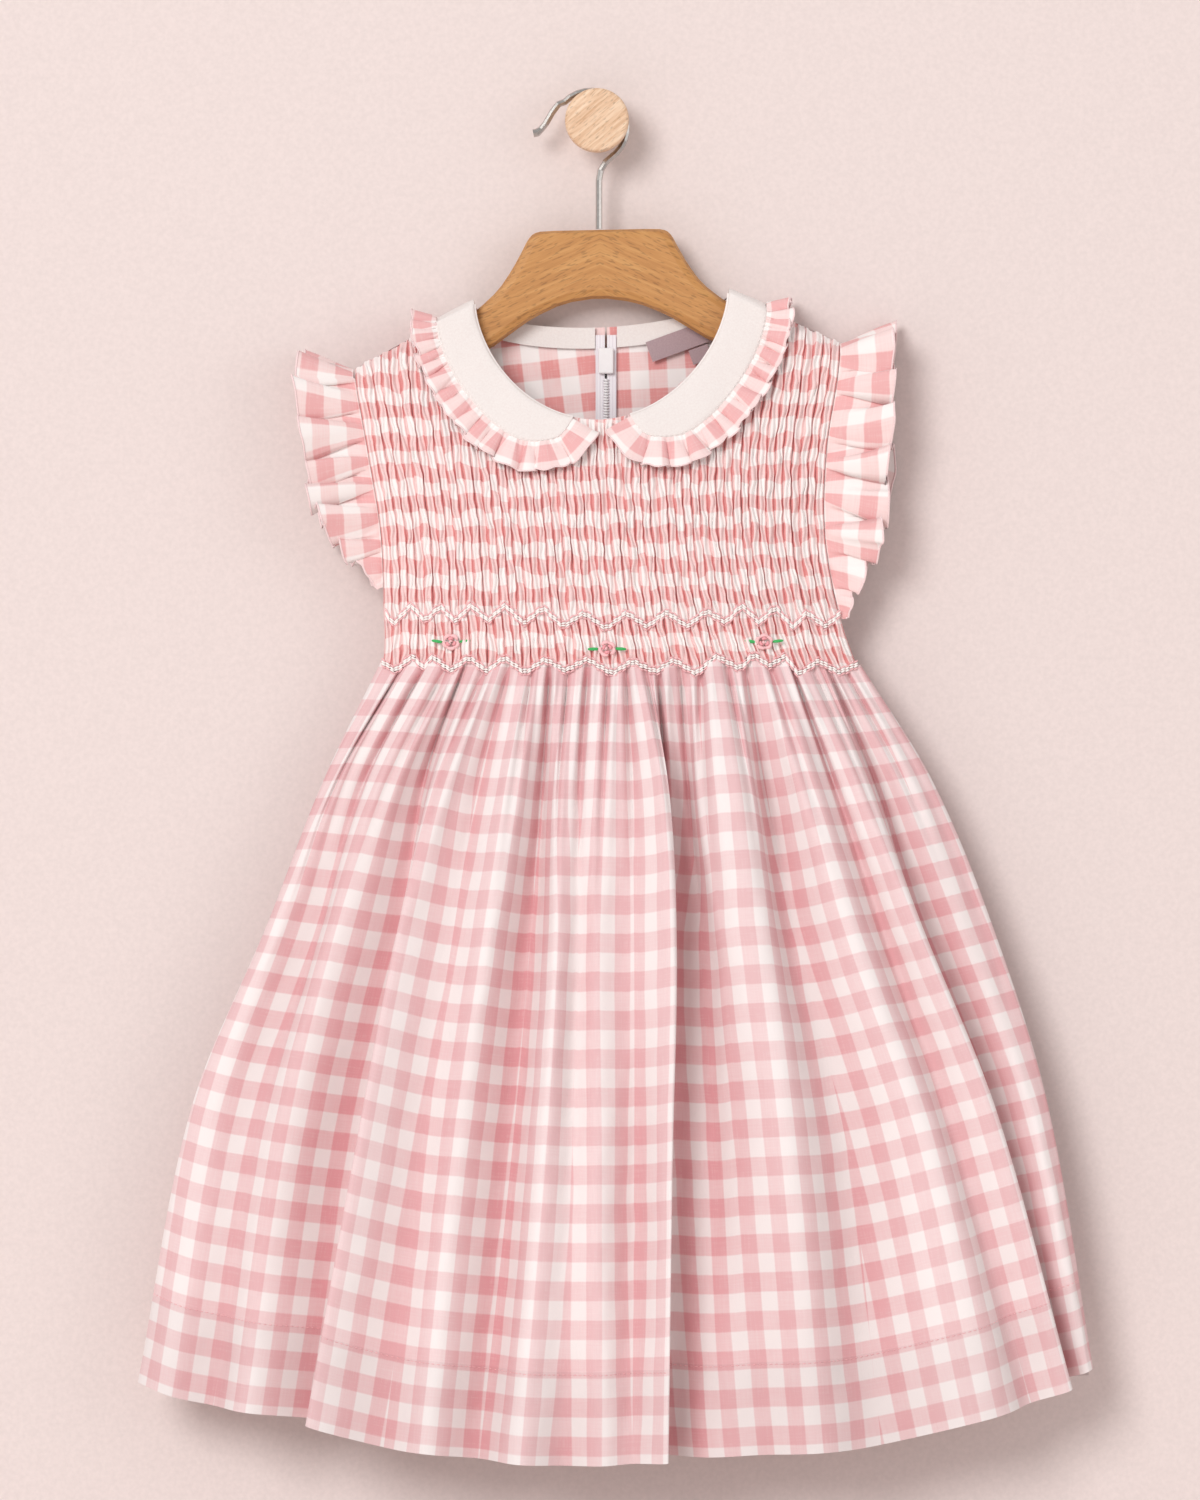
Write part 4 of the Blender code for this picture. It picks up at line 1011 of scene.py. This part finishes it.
def armhole_ruffle(name, side, gingham, node):
    """The wide gathered strip round an armhole: it stands out over the shoulder and flutters."""
    columns = ARM_WAVES * 20
    waves = wave_table(ARM_WAVES, 5 + side)
    parts = (0.0, 0.05, 0.14, 0.28, 0.45, 0.62, 0.78, 0.9, 1.0)
    grid = [[] for _ in parts]
    for j in range(columns + 1):
        s = arm_place(j / columns)
        base, lift = armhole(side, s)
        height = s if s <= 1 else (3 - s if s >= 2 else 1)
        depth, k, swing = wave_at(j / columns, waves)
        small = math.sin(j * 2 * math.pi / 9.0 + 2 * uneven(k, 3.0))
        ahead, behind = armhole(side, min(s + 0.01, 3))[0], armhole(side, max(s - 0.01, 0))[0]
        run = (ahead - behind).normalized()
        width = between(ARM_WIDTHS, height)[0] * (1.0 + 0.10 * depth + 0.08 * soft_noise(j, 0, 8 + side, 42.0))
        tip = 0.17 * soft_noise(j, 0.0, 6 + side, 60.0) * (1 - height**4)
        for line, part in zip(grid, parts):
            wave = 0.42 * width * depth * part**0.8 + 0.6 * small * min(part * 5, 1) * (1 - 0.8 * part)
            if lift.y > 0:
                room = -base.y - 1.5
                wave = room * math.tanh(wave / room)
            rise = blend(ARM_FALL, ARM_RISE, height**3)
            out = Vector((side, 0, rise + tip * part + 0.12 * math.cos(2 * math.pi * depth)))
            curl = 0.8 * part * part * math.sin(j * 0.35 + side)
            point = base + out * (width * part + 0.4 * part * small) + lift * wave
            point += run * (curl - 5.0 * part**0.8 * swing * min(width / 20, 1))
            line.append(tuple(point))
    grid = np.array(grid)
    along = lengths_along(grid, 1)[len(parts) // 2]
    cloth = np.stack((np.broadcast_to(along, grid.shape[:2]), lengths_along(grid, 0)), -1)
    cloth = cloth + np.array((2.0 + 5 * side, 4.0))
    piece = cloth_sheet(name, grid, cloth, gingham, (node,))
    return piece, grid[-1]


def rolled_hem(name, edge, pale, radius):
    """The overlocked roll along a ruffle's edge: a thin cord of pale thread."""
    return join_shapes(name, [tube(edge, radius)], pale)


def trellis_ground(x, z):
    """Where a surface thread lies: on the ridges of the smocking."""
    return np.array((x, float(front_y(x, z)) - RIDGE * 0.62, z))


def trellis_line(row, shift, pitch, jitter):
    """Places along a zigzag row, moved up or down by shift."""
    xs = [p[0] for p in row]
    zs = [p[1] for p in row]
    count = int((xs[-1] - xs[0]) / pitch)
    places = []
    for i in range(count + 1):
        x = xs[0] + i * pitch
        z = float(np.interp(x, xs, zs)) + shift + jitter * float(uneven(i, shift))
        places.append(trellis_ground(x, z))
    return places


def trellis_rows(white, pink):
    """Two zigzag rows of trellis stitch: double white lines edged in pink, with small dots between."""
    lines = ((1.75, pink, 0.4), (0.58, white, 0.52), (-0.58, white, 0.52), (-1.75, pink, 0.4))
    stitches = {white: [], pink: []}
    for row in (UPPER_ROW, LOWER_ROW):
        for shift, colour, radius in lines:
            places = trellis_line(row, shift, 2.15, 0.18)
            for i, (a, b) in enumerate(zip(places, places[1:])):
                lift = np.array((0.0, -0.25 if i % 2 else 0.05, 0.3 if i % 2 else -0.3))
                stitches[colour].append(stitch(a + lift, b + lift, radius, 0.35))
        for place in trellis_line(row, 0.0, 4.3, 0.1):
            down = np.array((0.0, -0.1, 0.45))
            stitches[pink].append(stitch(place + down, place - down, 0.3, 0.1, 5, 3))
    made = []
    for name, colour in (("trellis_white", white), ("trellis_pink", pink)):
        made.append(join_shapes(name, stitches[colour], colour))
    return made


def bullion(centre, start, turn, reach, radius):
    """A wound knot bent round a rose: its thread shows as rings along it."""
    route = []
    for i in range(15):
        angle = start + turn * i / 14
        route.append(
            centre + np.array((reach * math.cos(angle), -0.35 * math.sin(math.pi * i / 14), reach * 0.86 * math.sin(angle)))
        )
    points, faces = tube(route, 1.0, 8)
    points = np.array(points)
    rings = points.reshape(15, 8, 3)
    middle = rings.mean(axis=1, keepdims=True)
    swell = np.array([radius * (0.55 + 0.45 * math.sin(math.pi * (i + 0.5) / 15)) * (1 + 0.13 * (i % 2)) for i in range(15)])
    points = (middle + (rings - middle) * swell[:, None, None]).reshape(-1, 3)
    return points, faces


def roses(pink, deep_pink, green):
    """Three bullion roses between the trellis rows, with a leaf to each side."""
    petals, hearts, leaves = [], [], []
    for n, (x, z) in enumerate(ROSES):
        centre = trellis_ground(x, z) + np.array((0.0, -0.9, 0.0))
        for k in range(5):
            start = 1.257 * k + n + 0.25 * float(uneven(k, n))
            away = np.array((math.cos(start + 0.9), 0.0, math.sin(start + 0.9)))
            petals.append(bullion(centre + away * 1.5, start, 2.1, 2.1, 0.95))
        for k in range(3):
            start = 2.1 * k + 0.6 + n
            away = np.array((math.cos(start + 1.0), -1.0, math.sin(start + 1.0)))
            hearts.append(bullion(centre + away * 0.8, start, 2.2, 1.1, 0.75))
        petals.append(bullion(centre + np.array((0.0, -1.4, 0.0)), 0.4 + n, 3.0, 0.5, 0.6))
        for side in (-1, 1):
            root = centre + np.array((side * 4.2, 0.3, 0.1 * side))
            tip = centre + np.array((side * 9.6, 0.6, 0.7 if (n + side) % 2 else -0.2))
            for bend in (0.55, -0.55):
                off = np.array((0.0, 0.0, bend))
                leaves.append(stitch(root + off * 0.4, tip + off * 0.3, 0.62, 0.5, 8, 7))
            leaves.append(stitch(root + np.array((side, -0.35, 0.0)), tip, 0.4, 0.6, 8, 7))
    made = [
        join_shapes("rose_petals", petals, pink),
        join_shapes("rose_hearts", hearts, deep_pink),
        join_shapes("rose_leaves", leaves, green),
    ]
    return made


def seam_stitches(name, places, thread_material, length, gap):
    """A line of machine stitches that follows these places."""
    route = np.asarray(places, float)
    run = np.concatenate(([0], np.cumsum(np.linalg.norm(np.diff(route, axis=0), axis=1))))
    shapes = []
    for i in range(int(run[-1] / (length + gap))):
        ends = [i * (length + gap), i * (length + gap) + length]
        a, b = [np.array([np.interp(s, run, route[:, k]) for k in range(3)]) for s in ends]
        shapes.append(stitch(a, b, 0.2, 0.1, 4, 2))
    return join_shapes(name, shapes, thread_material)


def collar_stitches(name, side, thread_material):
    """The row of stitches a little inside the collar's outer seam."""
    places = [tuple(collar_point(side, float(q), 0.94, 1.45)) for q in np.linspace(0.02, 2.98, 150)]
    return seam_stitches(name, places, thread_material, 1.7, 0.9)


def hem_stitches(skirt, pink):
    """The stitch line that holds the turned-up hem of the front."""
    points = skirt_points(skirt)
    down = lengths_along(points, 0)
    level = down[-1] - HEM_DEPTH
    route = []
    for j in range(points.shape[1]):
        route.append([np.interp(level[j], down[:, j], points[:, j, k]) for k in range(3)])
    route = np.array(route) + np.array((0.0, -0.15, 0.0))
    return seam_stitches("hem_stitches", route, pink, 1.8, 1.0)


def skirt_points(skirt):
    flat = np.empty(len(skirt.data.vertices) * 3)
    skirt.data.vertices.foreach_get("co", flat)
    columns = (len(FRONT_FOLDS) - 1) * SKIRT_STEPS + 1
    return flat.reshape(-1, columns, 3) / MM


def zip_coil(nylon):
    """The back of the closed zip: a woven-over coil, seen as close ribs between the tapes."""
    y = float(back_y(ZIP_X, -180.0)) - CLOTH * 1.2 - GAP - 1.6
    shapes = []
    top, pitch = -129.5, 1.4
    for i in range(int((top - WAIST - 2) / pitch)):
        z = top - i * pitch
        shapes.append(stitch((ZIP_X - 1.5, y, z), (ZIP_X + 1.5, y, z - 0.25), 0.72, 0.35, 6, 4))
    return join_shapes("zip_coil", shapes, nylon)


def turned_knob(maple):
    """The wall knob's head and stem, turned, with softly broken edges."""
    profile = [(0.0, KNOB_PROFILE[0][1])] + list(KNOB_PROFILE)[:3]
    for i in range(7):
        angle = math.pi / 2 * i / 6
        profile.append((14.2 + 1.8 * math.sin(angle), -20.5 - 1.8 + 1.8 * math.cos(angle)))
    for i in range(7):
        angle = math.pi / 2 * i / 6
        profile.append((14.2 + 1.8 * math.cos(angle), -31.2 - 1.8 * math.sin(angle)))
    profile.append((0.0, -33.0))
    around = 96
    turn = 2 * math.pi * np.arange(around) / around
    points, faces = [], []
    for radius, y in profile[1:-1]:
        for angle in turn:
            points.append((radius * math.cos(angle), y, radius * math.sin(angle)))
    rings = len(profile) - 2
    for i in range(rings - 1):
        for k in range(around):
            a, b = i * around + k, i * around + (k + 1) % around
            faces.append((a, b, b + around, a + around))
    caps = [list(range(around))[::-1], list(range((rings - 1) * around, rings * around))]
    mesh = bpy.data.meshes.new("wall_knob_turned")
    mesh.from_pydata((np.array(points) * MM).tolist(), [], faces + caps)
    mesh.shade_smooth()
    mesh.set_sharp_from_angle(angle=math.radians(40))
    return new_object("wall_knob_turned", mesh, maple, ("wall_knob",))


def neck_seam_roll(name, side, gingham):
    """The neck edge seen past the collar: the cloth turned in over its seam allowance."""
    route = []
    for q in np.linspace(0.0, 1.0, 60):
        x, z, _, _, _ = collar_station(side, float(q))
        route.append((x, float(front_y(x, z)) - 1.6, z - 0.3))
    return join_shapes(name, [tube(route, 0.9, 8)], gingham)


def dress_materials(gingham, white, tape, enamel, satin, beech, steel):
    """Gives the nodes that stay visible the finish of the real pieces."""
    finishes = {
        "neck_binding_left": white,
        "neck_binding_right": white,
        "zip_tape_left": tape,
        "zip_tape_right": tape,
        "zip_slider": enamel,
        "zip_pull": enamel,
        "neck_label": satin,
        "size_tab": satin,
        "hanger": beech,
        "hook": steel,
    }
    for name, finish in finishes.items():
        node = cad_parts[name]
        for place in node.material_slots:
            place.material = finish
        if not node.material_slots:
            node.data.materials.append(finish)


def wall_and_floor():
    """A plain pale wall behind the knob and a plain floor far below."""
    made = []
    wall = bpy.data.meshes.new("wall")
    wall.from_pydata([(-3, 0.0006, -1.6), (3, 0.0006, -1.6), (3, 0.0006, 2), (-3, 0.0006, 2)], [], [(0, 1, 2, 3)])
    floor = bpy.data.meshes.new("floor")
    floor.from_pydata([(-3, -5, -1.6), (3, -5, -1.6), (3, 0.001, -1.6), (-3, 0.001, -1.6)], [], [(0, 1, 2, 3)])
    for mesh, code in ((wall, WALL_COLOUR), (floor, "#EFE4E0")):
        obj = bpy.data.objects.new(mesh.name, mesh)
        mesh.materials.append(painted_wall(mesh.name + "_emulsion_painted", code))
        bpy.context.scene.collection.objects.link(obj)
        made.append(obj)
    return made


def soft_light(name, place, aim, size, power, code):
    lamp = bpy.data.lights.new(name, "AREA")
    lamp.shape = "DISK"
    lamp.size = size
    lamp.energy = power
    lamp.color = linear(code)[:3]
    obj = bpy.data.objects.new(name, lamp)
    bpy.context.scene.collection.objects.link(obj)
    obj.location = place
    obj.rotation_euler = (Vector(aim) - Vector(place)).to_track_quat("-Z", "Y").to_euler()


def studio():
    """Soft daylight from the upper left, so the shadow falls to the lower right, and a pale fill."""
    soft_light("window", (-3.3, -7.6, 2.7), (0.0, 0.0, -0.35), 3.8, 430, "#FFFEFD")
    soft_light("fill", (5.5, -5.0, 0.5), (0.0, 0.0, -0.4), 4.0, 46, "#FFFCFB")
    world = bpy.data.worlds.new("studio_air")
    bpy.context.scene.world = world
    world.use_nodes = True
    ground = world.node_tree.nodes["Background"]
    ground.inputs["Color"].default_value = linear("#FFFCFB")
    ground.inputs["Strength"].default_value = 0.49
    bpy.context.scene.view_settings.view_transform = "Standard"


def photograph_camera():
    """Level and square to the wall, 6 m from the dress: 750 mm of it fills the 1500 pixels."""
    camera = bpy.data.cameras.new("camera")
    camera.sensor_width = 36.0
    camera.lens = 36.0 * 6000.0 / 750.0
    obj = bpy.data.objects.new("camera", camera)
    bpy.context.scene.collection.objects.link(obj)
    obj.location = (0.0015, -6.04, -0.3155)
    obj.rotation_euler = (math.pi / 2, 0.0, 0.0)
    bpy.context.scene.camera = obj


def main():
    photograph_camera()
    studio()
    wall_and_floor()

    gingham = gingham_cotton("gingham_cotton_woven", ("#F9F2F0", "#F4D6D4", "#E69D9B"))
    # Painted light: the ruffles' copy of the gingham is paler than the dress's, for the light that shines through
    # the thin strips
    gathered = gingham_cotton("gingham_cotton_painted_glow", ("#F9F3F1", "#F5DCDA", "#EBB4B4"))
    # Painted shade: the skirts' copy of the gingham has darker whites and half-pinks than the dress's, and
    # carries the painted hem and fold shade
    painted_shade_gingham = gingham_cotton("gingham_cotton_painted_shade", ("#F1E8E7", "#EBCDCE", "#E3B3B6"), HEM_DEPTH)
    white = white_lawn()
    nylon = thread("zip_coil_nylon", "#F1EEF0", 0.35)
    white_thread = thread("stranded_cotton_white", "#FFFAF7")
    pink_thread = thread("stranded_cotton_pink", "#F8C2C5")
    rose_thread = thread("stranded_cotton_rose", "#FDCBCD")
    heart_thread = thread("stranded_cotton_deep_rose", "#F6A9B0")
    leaf_thread = thread("stranded_cotton_green", "#46B866")
    hem_thread = thread("overlock_thread_pale_pink", "#F7DDDD")
    beech = grained_wood(
        "beech_sawn_oiled", ("#CF9A5D", "#C48C50", "#B37B43"), 2.2, math.radians(-24), 1.5, 0.58, 3.0
    )
    maple = grained_wood(
        "maple_turned_matt", ("#F3D9BE", "#E6C3A2", "#CFA47F"), 1.6, math.radians(40), -40.0, 0.55, 3.0
    )
    dress_materials(gingham, white, zip_tape(), zip_enamel(), label_satin(), beech, drawn_steel())

    bodice = smocked_bodice(gingham)
    front = skirt_front(painted_shade_gingham)
    back = skirt_back(painted_shade_gingham)
    left = bodice_back("bodice_back_left", -1, gingham, "back_left")
    right = bodice_back("bodice_back_right", 1, gingham, "back_right")
    embroidery = trellis_rows(white_thread, pink_thread)
    embroidery += roses(rose_thread, heart_thread, leaf_thread)
    hem = hem_stitches(front, pink_thread)

    for name, side in (("left", -1), ("right", 1)):
        half = collar("collar_cloth_" + name, side, white, "collar_" + name)
        topstitch = collar_stitches("collar_stitches_" + name, side, white_thread)
        ruffle, edge = collar_ruffle("ruffle_collar_" + name, side, gathered, "collar_ruffle_" + name)
        roll = rolled_hem("ruffle_collar_hem_" + name, edge, hem_thread, 0.42)
        ruffle, edge = armhole_ruffle("ruffle_armhole_" + name, side, gathered, "armhole_ruffle_" + name)
        roll = rolled_hem("ruffle_armhole_hem_" + name, edge, hem_thread, 0.5)
        neck_seam_roll("neck_seam_" + name, side, gingham)
    zip_coil(nylon)
    turned_knob(maple)


main()
